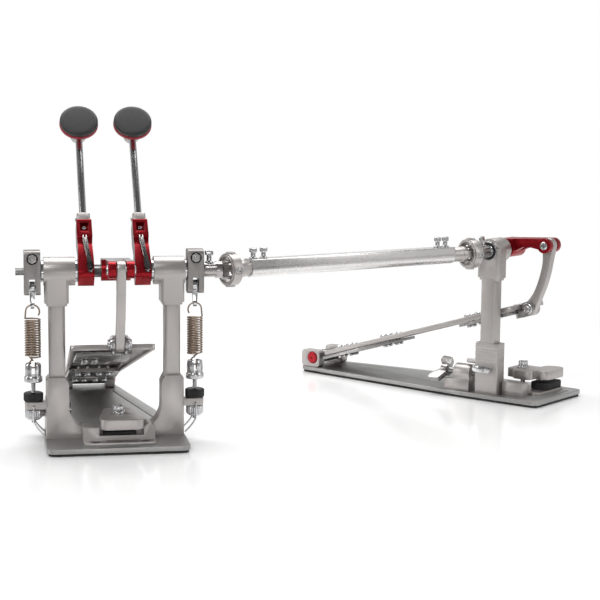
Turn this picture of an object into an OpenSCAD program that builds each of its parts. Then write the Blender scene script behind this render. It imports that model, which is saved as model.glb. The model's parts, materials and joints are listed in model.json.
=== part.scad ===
// Direct-drive double bass drum pedal.
// The main pedal carries two beaters. A second pedal stands beside it at an angle and turns
// the right-hand beater through a drive shaft with a universal joint at each end.
// X runs to the right along the main axle, Y runs back to the heel, Z runs up from the floor.

/* [Axles and posts] */
// Height of both axles above the floor
axle_h = 190; // [186:1:194]
// Distance between the centres of the two main posts
post_gap = 125.4; // [124:0.2:127]
// Side of the square upper posts
post_w = 18; // [17:0.5:19]
// Top of the main frame's lower columns
main_column_top = 75; // [70:1:80]
// Top of the second pedal's lower column
second_column_top = 73; // [68:1:80]
// Radius of the round bearing barrels
barrel_r = 15.6; // [15:0.2:16.4]
// Across flats of the hexagonal axles
hex_af = 12; // [11:0.5:12]

/* [Bases] */
// Thickness of the rubber soles
sole_t = 3; // [2:0.5:4]
// Thickness of the base plates
plate_t = 5; // [4:0.5:6]
// Half width of the main base at the toe
main_base_half = 76.4; // [75:0.2:80]
// Toe edge of the main base in front of the axle
main_toe = 70; // [66:1:76]
// Toe edge of the second base in front of its axle
second_toe = 78; // [74:1:84]
// Heel end of both bases behind the axle
heel_end = 308; // [306:1:312]

/* [Second pedal] */
// Place of the second pedal's post along X
second_x = 487.1; // [480:0.1:495]
// Place of the second pedal's post along Y
second_y = 178.7; // [172:0.1:185]
// Angle the second pedal is turned outwards
second_yaw = 40.8; // [38:0.1:43]
// Distance from the second pedal's post to its link
second_link_x = 50; // [49:0.5:51]

/* [Footboards] */
// Hinge pin behind the axle
hinge_y = 288; // [286:1:290]
// Hinge pin above the floor
hinge_z = 21; // [20:0.5:22]
// Slope of the main footboard at rest
main_board_angle = 15.5; // [15.2:0.05:15.8]
// Slope of the second footboard at rest
second_board_angle = 16.9; // [16.4:0.05:17]
// Length of the footboards from the hinge pin to the toe edge
board_len = 322; // [318:1:324]
// Thickness of the footboards at their ribbed edge
board_t = 6; // [5.5:0.5:7]

/* [Drive] */
// Link pin in front of the axle
link_top_y = 52.4; // [50:0.1:54]
// Link pin above the axle
link_top_z = 6.6; // [5:0.1:8]
// Link's lower pin in front of the axle
link_low_y = 28.4; // [28:0.1:29]
// Link's lower pin above the floor
link_low_z = 114.2; // [113.8:0.1:114.6]
// Width of the curved links
link_w = 9.6; // [9:0.2:10]
// Place of the main link across the pedal
main_link_x = 3.5; // [3:0.1:4]

/* [Beaters] */
// Backward lean of the beater shafts at rest
beater_lean = 41.5; // [38:0.5:44]
// Distance of each beater from the middle of the main axle
beater_x = 30.8; // [30.6:0.1:31]
// Distance from the axle to the middle of a beater head
head_reach = 198; // [190:1:206]
// Radius of a beater head's rim
head_r = 23.2; // [20:0.2:25]

/* [Return springs] */
// Distance of each spring from the middle of the main axle
spring_x = 88.5; // [88.3:0.1:88.7]
// Radius at which the hangers hold on to the rockers
rocker_r = 17; // [16.5:0.5:17.5]
// Outer radius of the springs
spring_r = 9; // [8:0.5:9.5]

/* [Drive shaft] */
// Outer radius of the universal joint rings
ring_r = 19.2; // [18.6:0.1:20]
// Height of the shaft's extruded tube
shaft_h = 20.4; // [19:0.2:21]
// Main universal joint's centre along X
joint_x = 128; // [127:0.5:129]
// Second universal joint's centre before the second post
second_joint_x = 52; // [51:0.5:53]

/* [Hidden] */
$fn = 48;

silver = "#b9b4ae";
dark_grey = "#6c6b6a";
chrome = "#d8d8da";
red = "#b0101a";
black = "#161616";
bronze = "#8a7663";
cream = "#d9d9d6";

fit_gap = 0.05;             // radial clearance of a turning shaft in its bore
play = 0.5;                 // side clearance between neighbouring moving parts
plate_top = sole_t + plate_t;
post_x = post_gap / 2;
post_r = 5;                 // corner radius of the posts
main_post = [post_w, post_w] / 2;
second_post = [8.4, 10.3];  // half sizes of the second pedal's post
post_foot = 40;             // bottom of the posts inside the columns
post_high = 129.5;
column_half_x = 12.3;
column_half_y = 14;
second_half_x = 9.3;
second_half_y = 16.7;
housing_low = 153;          // bottom of the bearing housings
housing_out = 13.8;         // from a post's centre to its housing's outer end
housing_in = 20.2;          // from a post's centre to its barrel's inner end
bearing_r = 12;
bearing_w = 6;
bearing_out = 2.6;          // how far the bearings stand out of the housings
journal_r = hex_af / 2;
holder_w = 17.2;
holder_top = 62;
link_eye_r = 9.4;
pin_r = 3;
open_play = 2.4;            // clearance of the link's lower eye, where the linkage is open
lug_low = 39.5;
lug_high = 47.5;
rod_r = 2.5;
board_top = 5;              // footboard's top above the line through the hinge pin
board_skin = 3;
bracket_t = 4;
ear_t = 3;
ear_gap = 5.4;              // from the link's middle to the inner face of each ear
joint_at = [second_x - second_joint_x * cos(second_yaw),
    second_y - second_joint_x * sin(second_yaw)];
shaft_yaw = atan2(joint_at[1], joint_at[0] - joint_x);
shaft_len = norm([joint_at[0] - joint_x, joint_at[1]]);
tube_start = 24;            // the tube's ends from the centres of the two joints
tube_end = 32;
sleeve_r = 8.6;
key_seat = 7.6;             // height of the couplers' flat seats above the axis
ring_t = 11;
main_heel = [-45, 20.5];    // span of the main hinge across the pedal
second_heel = [4, 69.5];
block_w = 12;
main_bolt_x = -31;          // first bolt of each row
second_bolt_x = 19;
spring_low = 95;
spring_high = 139;
wire_r = 1;
hook_r = 7.5;
clamp_x = 2;                // middle of the hoop clamp
jaw_z = 25;                 // underside of both jaws
pad_top = 20.2;             // top of the rubber pads under them
bolt_y = -20;
second_bolt_at = [55, -17];
wing_block_x = -75;         // outer face of the main wing bolt's block
wing_y = 36;
wing_z = 31;
second_wing = [0, 60.5, 31];

// ---- shared shapes ----

// Outline with every corner rounded by radius r in n steps
function unit(v) = v / norm(v);
function corner(a, p, b, r, n) =
    let (u = unit(a - p), v = unit(b - p), half = acos(u * v) / 2,
        c = p + unit(u + v) * r / sin(half),
        s = p + u * r / tan(half) - c, e = p + v * r / tan(half) - c,
        a0 = atan2(s[1], s[0]), turn = atan2(e[1], e[0]) - a0,
        sweep = turn > 180 ? turn - 360 : turn < -180 ? turn + 360 : turn)
    [for (i = [0:n]) c + r * [cos(a0 + sweep * i / n), sin(a0 + sweep * i / n)]];
function rounded(pts, r, n = 6) =
    [for (i = [0:len(pts) - 1])
        each corner(pts[(i + len(pts) - 1) % len(pts)], pts[i], pts[(i + 1) % len(pts)], r, n)];

module second_pedal() translate([second_x, second_y, 0]) rotate([0, 0, second_yaw]) children();
module at_axle() translate([0, 0, axle_h]) children();
module along_x(x0, x1) translate([x0, 0, 0]) rotate([90, 0, 90]) linear_extrude(x1 - x0) children();
module along_y(y0, y1) translate([0, y1, 0]) rotate([90, 0, 0]) linear_extrude(y1 - y0) children();
module rod_x(x0, x1, r) translate([x0, 0, 0]) rotate([0, 90, 0]) cylinder(h = x1 - x0, r = r);
module rod_y(y0, y1, r) translate([0, y1, 0]) rotate([90, 0, 0]) cylinder(h = y1 - y0, r = r);
module rod_z(z0, z1, r) translate([0, 0, z0]) cylinder(h = z1 - z0, r = r);
module hex_x(x0, x1, af) translate([x0, 0, 0]) rotate([0, 90, 0])
    cylinder(h = x1 - x0, r = af / 2 / cos(30), $fn = 6);
module hex_z(z0, z1, af) translate([0, 0, z0]) cylinder(h = z1 - z0, r = af / 2 / cos(30), $fn = 6);

// Rectangle with rounded corners, from its low corner to its high corner
module soft_rect(low, high, r) {
    translate([low[0] + r, low[1]]) square([high[0] - low[0] - 2 * r, high[1] - low[1]]);
    translate([low[0], low[1] + r]) square([high[0] - low[0], high[1] - low[1] - 2 * r]);
    for (x = [low[0] + r, high[0] - r], y = [low[1] + r, high[1] - r])
        translate([x, y]) circle(r);
}

// Straight round bar between two points
module bar(a, b, r) {
    d = b - a;
    translate(a) rotate([0, acos(d[2] / norm(d)), atan2(d[1], d[0])]) cylinder(h = norm(d), r = r);
}

// Square-headed key bolt standing on a surface at z = 0
module key_bolt(h) {
    rod_z(0, h * 0.3, 4.2);
    rod_z(h * 0.3, h * 0.55, 3);
    translate([-2.6, -2.6, h * 0.55]) cube([5.2, 5.2, h * 0.45]);
}

// ---- bases ----

function main_outline(inset) = [
    [-main_base_half + inset, -main_toe + inset], [main_base_half - inset, -main_toe + inset],
    [main_base_half - inset, 37], [main_heel[1] + 1.1 - inset, heel_end - inset],
    [main_heel[0] - 1 + inset, heel_end - inset], [-main_base_half + inset, 37]];
function second_outline(inset) = [
    [-16.3 + inset, -second_toe + inset], [102.5 - inset, -second_toe + inset],
    [102.5 - inset, 33], [second_heel[1] + 1.1 - inset, heel_end - inset],
    [second_heel[0] - 1.3 + inset, heel_end - inset], [-16.3 + inset, 33]];

module anchor_holes(z0, z1)
    for (x = [-24, 28]) translate([x, -50, 0]) rod_z(z0, z1, 6);

module main_base_plate() color(silver) difference() {
    translate([0, 0, sole_t]) linear_extrude(plate_t) polygon(rounded(main_outline(0), 9));
    anchor_holes(sole_t - 1, plate_top + 1);
    // groove beside each tapered edge
    for (s = [-1, 1])
        translate([s * 62, 30, plate_top - 1]) rotate([0, 0, s > 0 ? 11.4 : -6.4]) translate([-1, 0, 0])
            cube([2, 235, 2]);
}

module second_base_plate() color(silver) second_pedal() difference() {
    translate([0, 0, sole_t]) linear_extrude(plate_t) polygon(rounded(second_outline(0), 9));
    translate([88, 30, plate_top - 1]) rotate([0, 0, 6.6]) translate([-1, 0, 0]) cube([2, 235, 2]);
    for (x = [64, 80])
        translate([x - 12, -70, plate_top - 1.5]) cube([24 - (x - 64) / 2, 3, 2]);
}

module rubber_soles() color(black) {
    difference() {
        linear_extrude(sole_t) polygon(rounded(main_outline(1.5), 8));
        anchor_holes(-1, sole_t + 1);
    }
    second_pedal() linear_extrude(sole_t) polygon(rounded(second_outline(1.5), 8));
}

// ---- frames, posts and bearings ----

module post_pocket(x) translate([x, 0, post_foot])
    linear_extrude(60) soft_rect(-main_post, main_post, post_r);

// One U-shaped casting: two columns, the bridge between them and the spring lugs
module main_frame() color(silver) {
    in_x = post_x - column_half_x;
    out_x = post_x + column_half_x;
    bend = 24;
    difference() {
        union() {
            along_y(-column_half_y, column_half_y) difference() {
                polygon(concat(
                    [[-out_x, plate_top], [out_x, plate_top], [out_x, main_column_top],
                        [in_x + 4, main_column_top], [in_x, main_column_top - 8]],
                    [for (i = [0:10]) [in_x - bend + bend * cos(i * 9), 17 + bend - bend * sin(i * 9)]],
                    [for (i = [0:10]) [-in_x + bend - bend * sin(i * 9), 17 + bend - bend * cos(i * 9)]],
                    [[-in_x, main_column_top - 8], [-in_x - 4, main_column_top],
                        [-out_x, main_column_top]]));
                // rounded outer top corners
                for (s = [-1, 1]) translate([s * out_x, main_column_top]) rotate(45)
                    square(4.2, center = true);
            }
            // lugs that hold the spring rods
            for (s = [-1, 1]) translate([0, 0, lug_low]) linear_extrude(lug_high - lug_low)
                soft_rect([s > 0 ? out_x - 7 : -spring_x - 9.5, -8],
                    [s > 0 ? spring_x + 9.5 : -out_x + 7, 8], 6);
        }
        for (s = [-1, 1]) {
            post_pocket(s * post_x);
            translate([s * spring_x, 0, 0]) rod_z(lug_low - 1, lug_high + 1, rod_r + 0.1);
        }
        // chamfers along the columns' upright front and back edges
        for (x = [-out_x, out_x], y = [-column_half_y, column_half_y])
            translate([x, y, main_column_top / 2 + 30]) rotate([0, 0, 45])
                cube([3, 3, main_column_top - 25], center = true);
    }
}

module second_column() color(silver) second_pedal() {
    difference() {
        translate([0, 0, plate_top]) linear_extrude(second_column_top - plate_top)
            soft_rect([-second_half_x, -second_half_y], [second_half_x, second_half_y], 2.4);
        translate([0, 0, post_foot]) linear_extrude(60) soft_rect(-second_post, second_post, post_r);
        // fine grip lines near the top
        for (i = [0:5])
            translate([-second_half_x - 1, -second_half_y - 1, second_column_top - 8 - 3.2 * i])
                difference() {
                    cube([2 * second_half_x + 2, 2 * second_half_y + 2, 0.8]);
                    translate([1.5, 1.5, -1]) cube([2 * second_half_x - 1, 2 * second_half_y - 1, 3]);
                }
    }
    // screw that holds the post
    translate([-4, 0, 47.5]) rod_y(12, 30, 3);
}

// Upper posts, clamped in the columns and in the bearing housings
module posts() color(silver) {
    for (s = [-1, 1]) translate([s * post_x, 0, post_foot]) linear_extrude(post_high)
        soft_rect(-main_post, main_post, post_r);
    second_pedal() translate([0, 0, post_foot]) linear_extrude(post_high)
        soft_rect(-second_post, second_post, post_r);
}

// Barrel round the axle with a socket below it for the post.
// low and high are the barrel's ends, half the block's half sizes, post the post's half sizes
module housing(low, high, half, post) difference() {
    union() {
        at_axle() rod_x(low, high, barrel_r);
        translate([0, 0, housing_low + 3]) linear_extrude(axle_h - housing_low) soft_rect(-half, half, 4);
        translate([0, 0, housing_low]) linear_extrude(3) soft_rect([2, 2] - half, half - [2, 2], 3);
    }
    translate([0, 0, housing_low - 1]) linear_extrude(18) soft_rect(-post, post, post_r);
    at_axle() rod_x(low - 5, high + 5, 9);
    at_axle() rod_x(low - 5, low + bearing_w - bearing_out, bearing_r);
    at_axle() rod_x(high - bearing_w + bearing_out, high + 5, bearing_r);
}

module left_bearing_housing() color(silver) translate([-post_x, 0, 0])
    housing(-housing_out, housing_in, [13, column_half_y], main_post);
module right_bearing_housing() color(silver) translate([post_x, 0, 0])
    housing(-housing_in, housing_out, [13, column_half_y], main_post);
module second_bearing_housing() color(silver) second_pedal()
    housing(-8, housing_in, [10.2, 16], second_post);

// Sealed bearing whose outer face is at x and which reaches in by its width
module bearing(x, inwards) at_axle() difference() {
    rod_x(inwards > 0 ? x : x - bearing_w, inwards > 0 ? x + bearing_w : x, bearing_r - 0.02);
    rod_x(x - bearing_w - 1, x + bearing_w + 1, journal_r + fit_gap);
}

module ball_bearings() color(black) {
    for (s = [-1, 1]) {
        bearing(s * (post_x + housing_out + bearing_out), -s);
        bearing(s * (post_x - housing_in - bearing_out), s);
    }
    second_pedal() {
        bearing(-8 - bearing_out, 1);
        bearing(housing_in + bearing_out, -1);
    }
}

// ---- footboard hinges ----

module hinge_block(x0) difference() {
    along_x(x0, x0 + block_w)
        soft_rect([hinge_y - 12, plate_top], [hinge_y + 18.5, 31.5], 5);
    translate([0, hinge_y, hinge_z]) rod_x(x0 - 1, x0 + block_w + 1, 4);
}
module hinge_pair(span) {
    difference() {
        union() {
            hinge_block(span[0]);
            hinge_block(span[1] - block_w);
        }
        translate([0, hinge_y, hinge_z]) {
            rod_x(span[0] - 1, span[0] + 2, 8.3);
            rod_x(span[1] - 2, span[1] + 1, 8.3);
        }
    }
}
module hinge_blocks() color(silver) {
    hinge_pair(main_heel);
    second_pedal() hinge_pair(second_heel);
}

module hinge_pin(span) translate([0, hinge_y, hinge_z]) {
    rod_x(span[0] + 2, span[1] - 2, 3.98);
    rod_x(span[0] - 1.2, span[0] + 2, 8.2);
    rod_x(span[1] - 2, span[1] + 1.2, 8.2);
}
module hinge_pins() color(red) {
    hinge_pin(main_heel);
    second_pedal() hinge_pin(second_heel);
}

// ---- return springs ----

// Threaded rods with a slotted cup on top, and the bent retaining wire beside each
module spring_rods() color(chrome) for (s = [-1, 1]) {
    translate([s * spring_x, 0, 0]) {
        rod_z(24, 70, rod_r);
        difference() {
            union() {
                rod_z(69, 75.5, 10);
                rod_z(75.5, 90, 9);
            }
            translate([-2, -12, 76]) cube([4, 24, 20]);
        }
    }
    // two legs of the retaining wire, in front of the lug and behind it
    for (y = [-12, 12]) {
        bar([s * spring_x, y, 43], [s * spring_x, y, 25], wire_r);
        translate([s * spring_x, y, 25]) sphere(wire_r);
        bar([s * spring_x, y, 25], [s * (post_x + column_half_x + 1.2), y, plate_top + 3], wire_r);
        bar([s * spring_x, y, 43], [s * spring_x, y * 2 / 3, 43], wire_r * 0.9);
    }
}

module lock_nuts() color(black) for (s = [-1, 1]) translate([s * spring_x, 0, 0]) difference() {
    rod_z(lug_high, 58, 10.8);
    rod_z(lug_high - 1, 59, rod_r);
}

module adjuster_nut() difference() {
    union() {
        rod_z(29, lug_low - play, 9.6);
        rod_z(27.5, 29, 7);
    }
    rod_z(20, 50, rod_r + fit_gap);
}
module left_adjuster_nut() color(chrome) translate([-spring_x, 0, 0]) adjuster_nut();
module right_adjuster_nut() color(chrome) translate([spring_x, 0, 0]) adjuster_nut();

// Coil body as a plain tube, with an opened eye at each end
module spring_eye(side) difference() {
    rotate([90, 0, 0]) rotate_extrude($fn = 32) translate([hook_r, 0]) circle(wire_r, $fn = 16);
    translate([side > 0 ? 3 : -13, -5, -1]) cube([10, 10, 5]);
}
module return_springs() color(bronze) for (s = [-1, 1]) translate([s * spring_x, 0, 0]) {
    difference() {
        rod_z(spring_low, spring_high, spring_r);
        rod_z(spring_low - 1, spring_high + 1, spring_r - 2);
    }
    translate([0, 0, spring_high + hook_r - 0.5]) spring_eye(-s);
    translate([0, 0, spring_low - hook_r + 0.5]) rotate([0, 0, 90]) spring_eye(1);
}

// Swinging hanger between the rocker's fork and the spring's hook
module hanger() translate([0, 0, axle_h - rocker_r]) difference() {
    intersection() {
        along_y(-8, 8) polygon([[-2.8, 8], [2.8, 8], [2.8, -8], [1.9, -24], [-1.9, -24], [-2.8, -8]]);
        along_x(-2.8, 2.8) union() {
            circle(6.2);
            translate([-3.4, -19.6]) square([6.8, 19.6]);
            translate([0, -19.6]) circle(4.2);
        }
    }
    rod_x(-5, 5, 2 + 1.9);
    translate([0, 0, -19.2]) rod_x(-5, 5, 2.1);
}
module left_hanger() color(chrome) translate([-spring_x, 0, 0]) hanger();
module right_hanger() color(chrome) translate([spring_x, 0, 0]) hanger();

// ---- main axle and transfer axle ----

// Hexagonal shaft with round journals; the pilot at its right end runs in the transfer axle
module main_axle() color(dark_grey) at_axle() {
    in_face = post_x - housing_in - bearing_out;
    out_face = post_x + housing_out + bearing_out;
    rod_x(-106.3, -out_face - 18, 3.9);
    hex_x(-out_face - 18, -out_face, hex_af);
    rod_x(-out_face, -in_face, journal_r);
    hex_x(-in_face, 19, hex_af);
    rod_x(19, 31, 4);
}

module transfer_axle() color(dark_grey) at_axle() {
    in_face = post_x - housing_in - bearing_out;
    out_face = post_x + housing_out + bearing_out;
    difference() {
        union() {
            hex_x(21, in_face, hex_af);
            rod_x(in_face, out_face, journal_r);
            hex_x(out_face, out_face + 18.6, hex_af);
            rod_x(out_face + 18.6, joint_x - 16, 8.3);
            fork(joint_x, -1, 0);
        }
        rod_x(20, 33, 4 + fit_gap);
        key_flat(out_face + 18.6);
    }
}

// Flat seat for a key bolt on the coupler that starts at x
module key_flat(x) translate([x + 1.5, -10, key_seat]) cube([10, 20, 5]);

// Fork of a universal joint round the point x on the axis; side -1 reaches back along -X.
// turn sets the plane of its two prongs
module fork(x, side, turn) translate([x, 0, 0]) rotate([turn, 0, 0]) mirror([side > 0 ? 0 : 1, 0, 0]) {
    translate([0, 0, 0]) rod_x(9.5, 17, 9.4);
    for (s = [-1, 1]) translate([-4, -4, s > 0 ? 7 : -10.6]) cube([14, 8, 3.6]);
}

module rocker() difference() {
    along_x(-8.8, 8.8) soft_rect([-12, -25], [12, 23.2], 5);
    hex_x(-20, 20, hex_af + 0.04);
    // fork for the hanger
    translate([-3.4, -20, -26]) cube([6.8, 40, 18.5]);
    translate([0, 0, -rocker_r]) rod_x(-20, 20, 2);
    // recess and thread of the clamping screw
    translate([0, 0, 14.5]) rod_y(-20, -9, 6.2);
    translate([0, 0, 14.5]) rod_y(-20, 6, 2.4);
    translate([-10, -0.6, 6]) cube([20, 1.2, 20]);
}
module left_rocker() color(silver) at_axle() translate([-spring_x, 0, 0]) rocker();
module right_rocker() color(silver) at_axle() translate([spring_x, 0, 0]) rocker();

module rocker_pin_and_screw(x) at_axle() translate([x, 0, 0]) {
    translate([0, 0, -rocker_r]) rod_x(-8.8, 8.8, 1.98);
    translate([0, 0, 14.5]) {
        rod_y(-9, 5.9, 2.35);
        rotate([90, 0, 0]) hex_z(9, 13.2, 9);
    }
}

module on_beater(x) translate([x, 0, axle_h]) rotate([-beater_lean, 0, 0]) children();

// Clamp block that carries a beater shaft; local Z runs along the shaft
module beater_holder() difference() {
    intersection() {
        along_x(-holder_w / 2, holder_w / 2) difference() {
            union() {
                soft_rect([-12.5, -14], [12.5, 27], 6);
                soft_rect([-12.5, 18], [9.5, holder_top], 2);
            }
            // groove under the upper block, and the waist behind
            translate([-14, 26]) square([4, 10]);
            translate([16, 14]) circle(7.5);
        }
        along_y(-20, 20) polygon([[-8.6, -20], [8.6, -20], [8.6, 8], [7.8, 26], [8.6, 40],
            [8.3, holder_top], [-8.3, holder_top], [-8.6, 40], [-7.8, 26], [-8.6, 8]]);
    }
    rotate([beater_lean, 0, 0]) hex_x(-20, 20, hex_af + 0.04);
    rod_z(24, 80, 4.05);
    // window over the shaft and the hole of the clamp key's screw
    translate([-4.6, -20, 45]) cube([9.2, 14, 11.5]);
    translate([0, 0, 31]) rod_y(-20, -3, 2.4);
}
module left_beater_holder() color(red) on_beater(-beater_x) beater_holder();
module right_beater_holder() color(red) on_beater(beater_x) beater_holder();

// Tapered clamp key in front of the holder with its screw, and the small screw in the window
module holder_bolts() {
    translate([0, 0, 31]) rod_y(-15, -4.6, 2.35);
    along_y(-16.4, -13) polygon([[-2.6, 34], [2.6, 34], [3.4, 24], [6.4, -6], [4.6, -9], [2.6, -8]]);
    translate([0, 0, 51]) rod_y(-9.5, -6, 2.2);
}

module main_axle_fasteners() color(chrome) {
    rocker_pin_and_screw(-spring_x);
    on_beater(-beater_x) holder_bolts();
    at_axle() translate([main_link_x, -link_top_y, link_top_z]) rod_x(-13.9, 13.9, pin_r);
}
module transfer_axle_fasteners() color(chrome) {
    rocker_pin_and_screw(spring_x);
    on_beater(beater_x) holder_bolts();
    at_axle() translate([104.2, 0, key_seat]) key_bolt(14);
}

// Fork-ended lever that the link pulls; x0 and x1 are its hub's ends beside the link at x = 0
module cam() {
    top_z = link_top_z + 8.8;
    difference() {
        union() {
            along_x(-17.8, 13.9) {
                circle(11);
                translate([-9, 0]) square([18, 13]);
            }
            for (s = [-1, 1]) along_x(s > 0 ? 5.7 : -13.9, s > 0 ? 13.9 : -5.7) difference() {
                union() {
                    translate([-link_top_y, link_top_z]) circle(9.3);
                    polygon([[9, 13], [0, 13], [-link_top_y, top_z + 0.4],
                        [-link_top_y - 2, link_top_z - 8], [-link_top_y + 8, link_top_z - 5],
                        [-34, 3.4], [-22, 3], [-12, -2], [0, -11], [8, -7]]);
                }
                translate([-19, -9]) circle(8);
            }
            // bridge between the two arms behind the link
            along_x(-13.9, 13.9) translate([-34, 4]) square([34, 9]);
        }
        hex_x(-40, 40, hex_af + 0.04);
        translate([0, -link_top_y, link_top_z]) rod_x(-20, 20, pin_r + 0.02);
        // room for the link's upper eye
        translate([0, -link_top_y, link_top_z]) rod_x(-5.7, 5.7, link_eye_r + 1.2);
    }
}
module main_cam() color(red) at_axle() translate([main_link_x, 0, 0]) cam();
module second_cam() color(red) second_pedal() at_axle() translate([second_link_x, 0, 0]) cam();

// Curved link: it bulges forward between its upper and lower eyes
module link() {
    low = [-link_low_y, link_low_z - axle_h];
    top = [-link_top_y, link_top_z];
    chord = top - low;
    mid = (top + low) / 2;
    away = unit([-chord[1], chord[0]]);
    sag = 6.4;
    bend_r = (pow(norm(chord) / 2, 2) + sag * sag) / (2 * sag);
    centre = mid - away * (bend_r - sag);
    difference() {
        along_x(-link_w / 2, link_w / 2) difference() {
            union() {
                translate(top) circle(link_eye_r);
                translate(low) circle(link_eye_r);
                intersection() {
                    translate(centre) difference() {
                        circle(bend_r + 6.2, $fn = 96);
                        circle(bend_r - 5, $fn = 96);
                    }
                    polygon([low, low + away * 30, top + away * 30, top, top - away * 20,
                        low - away * 20]);
                }
            }
        }
        translate([0, top[0], top[1]]) rod_x(-20, 20, pin_r + fit_gap);
        translate([0, low[0], low[1]]) rod_x(-20, 20, pin_r + open_play);
    }
}
module main_link() color(silver) at_axle() translate([main_link_x, 0, 0]) link();
module second_link() color(silver) second_pedal() at_axle() translate([second_link_x, 0, 0]) link();

// ---- beaters ----

// Steel shaft with the clamp collar that sits on top of the holder
module beater_shaft() {
    rod_z(28, head_reach + 8, 4);
    difference() {
        translate([0, 0, holder_top + 0.4]) linear_extrude(11) soft_rect([-7.5, -9.5], [7.5, 9], 3);
        rod_z(60, 90, 4);
    }
}
module beater_hub() translate([0, 0, head_reach]) difference() {
    union() {
        rod_y(-8, 13, 9.6);
        rod_y(13, 15, 8);
    }
    translate([0, 0, -30]) cylinder(h = 39, r = 4);
}
module beater_rim() translate([0, 0, head_reach]) rotate([90, 0, 0]) rotate_extrude()
    polygon([[0, 8], [head_r - 3, 8], [head_r, 10], [head_r, 13], [head_r - 0.8, 14], [0, 14]]);
module beater_pad() translate([0, 0, head_reach]) rotate([90, 0, 0]) rotate_extrude()
    polygon(concat([[0, 14]], [[head_r - 1.2, 14]],
        [for (i = [0:6]) [head_r - 4.2 + 3 * cos(i * 15), 17.2 + 3 * sin(i * 15)]], [[0, 20.8]]));

module left_beater_shaft() color(chrome) on_beater(-beater_x) beater_shaft();
module left_beater_hub() color(cream) on_beater(-beater_x) beater_hub();
module left_beater_rim() color(red) on_beater(-beater_x) beater_rim();
module left_beater_pad() color(black) on_beater(-beater_x) beater_pad();
module right_beater_shaft() color(chrome) on_beater(beater_x) beater_shaft();
module right_beater_hub() color(cream) on_beater(beater_x) beater_hub();
module right_beater_rim() color(red) on_beater(beater_x) beater_rim();
module right_beater_pad() color(black) on_beater(beater_x) beater_pad();

// ---- drive shaft; local X runs from the main joint to the second joint ----

module on_shaft() translate([joint_x, 0, axle_h]) rotate([0, 0, shaft_yaw]) children();

module drive_shaft_tube() color(chrome) on_shaft() difference() {
    along_x(tube_start, shaft_len - tube_end) {
        translate([0, -0.6]) circle(shaft_h / 2 - 0.6);
        soft_rect([0.8 - shaft_h / 2, 1.6], [shaft_h / 2 - 0.8, shaft_h / 2], 1.6);
    }
    rod_x(0, shaft_len, sleeve_r - 1.5);
}

module drive_shaft_yokes() color(silver) on_shaft() {
    fork(0, 1, 90);
    rod_x(16, tube_start, sleeve_r);
    rod_x(16, 90, sleeve_r - 1.55);
    fork(shaft_len, -1, 90);
    rod_x(shaft_len - tube_end, shaft_len - 16, sleeve_r);
    rod_x(shaft_len - 90, shaft_len - 16, sleeve_r - 1.55);
}

// Rings that join each pair of forks: four bosses hold the pivot screws
module universal_rings() color(silver) on_shaft() for (x = [0, shaft_len]) translate([x, 0, 0])
    difference() {
        union() {
            rod_x(-ring_t / 2, ring_t / 2, ring_r - 1.2);
            rod_x(-ring_t / 2 - 1.5, ring_t / 2 + 1.5, ring_r - 3);
            for (a = [0:90:270]) rotate([a, 0, 0]) rod_z(12, ring_r, 5.4);
        }
        rod_x(-20, 20, 14.4);
        for (a = [0:90:270]) rotate([a, 0, 0]) rod_z(ring_r - 1.5, ring_r + 5, 3.6);
    }

module shaft_key_bolts() color(chrome) on_shaft() {
    for (x = [tube_start + 6, tube_start + 20, shaft_len - tube_end - 21, shaft_len - tube_end - 9])
        translate([x, 0, shaft_h / 2]) key_bolt(12.5);
    // pivot screws sunk in the rings
    for (x = [0, shaft_len], a = [0:90:270]) translate([x, 0, 0]) rotate([a, 0, 0])
        rod_z(ring_r - 1.5, ring_r - 0.4, 3.5);
}

// ---- second axle ----

// Axle with its fork, its key bolt and the pin of the upper link eye
module second_axle() color(dark_grey) second_pedal() at_axle() {
    coupler = 21 - second_joint_x;
    hex_start = housing_in + bearing_out + 0.6;
    difference() {
        union() {
            fork(-second_joint_x, 1, 0);
            rod_x(16 - second_joint_x, -18, 8.3);
            rod_x(-18, hex_start, journal_r);
            hex_x(hex_start, second_link_x + 15, hex_af);
        }
        key_flat(coupler - 1.5);
    }
    translate([coupler + 5, 0, key_seat]) key_bolt(12);
    translate([second_link_x, -link_top_y, link_top_z]) rod_x(-13.9, 13.9, pin_r);
}

// ---- footboards; local Y runs back to the hinge pin, Z out of the tread ----

// The link's lower pin seen from the hinge: its distance along the board and its height over it
function pivot(slope) = [(hinge_y + link_low_y) * cos(slope) + (link_low_z - hinge_z) * sin(slope),
    (link_low_z - hinge_z) * cos(slope) - (hinge_y + link_low_y) * sin(slope)];
module on_board(slope) translate([0, hinge_y, hinge_z]) rotate([-slope, 0, 0]) children();

// Bolts that hold the brackets: four abreast in two rows at the heel, two pairs at the toe
module bolt_rows(x0) {
    for (x = [0, 11, 25, 36], u = [38, 116]) translate([x0 + x, -u, 0]) children();
    for (x = [0, 11], u = [254, 272]) translate([x0 + x, -u, 0]) children();
}

// Tread with a ribbed rim; heel and toe are its spans across the pedal
module footboard(heel, toe, link_x, bolt_x, slope) on_board(slope) difference() {
    translate([0, 0, board_top - board_t]) linear_extrude(board_t)
        polygon(rounded([[toe[0], -board_len], [toe[1], -board_len], [heel[1], -16], [heel[0], -16]], 4));
    translate([0, 0, board_top - board_t - 1]) linear_extrude(board_t - board_skin + 1)
        polygon([[toe[0] + 4, 4 - board_len], [toe[1] - 4, 4 - board_len], [heel[1] - 4, -20],
            [heel[0] + 4, -20]]);
    // notch for the link and its ears
    translate([link_x - 10, -board_len - 10, -30]) cube([20, 24, 60]);
    bolt_rows(bolt_x) rod_z(-20, 20, 2.05);
    // long tread openings
    for (s = [-1, 1]) translate([(heel[0] + heel[1]) / 2 + s * 14, 0, -20]) linear_extrude(40)
        soft_rect([-3, -230], [3, -140], 2.9);
}

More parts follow.
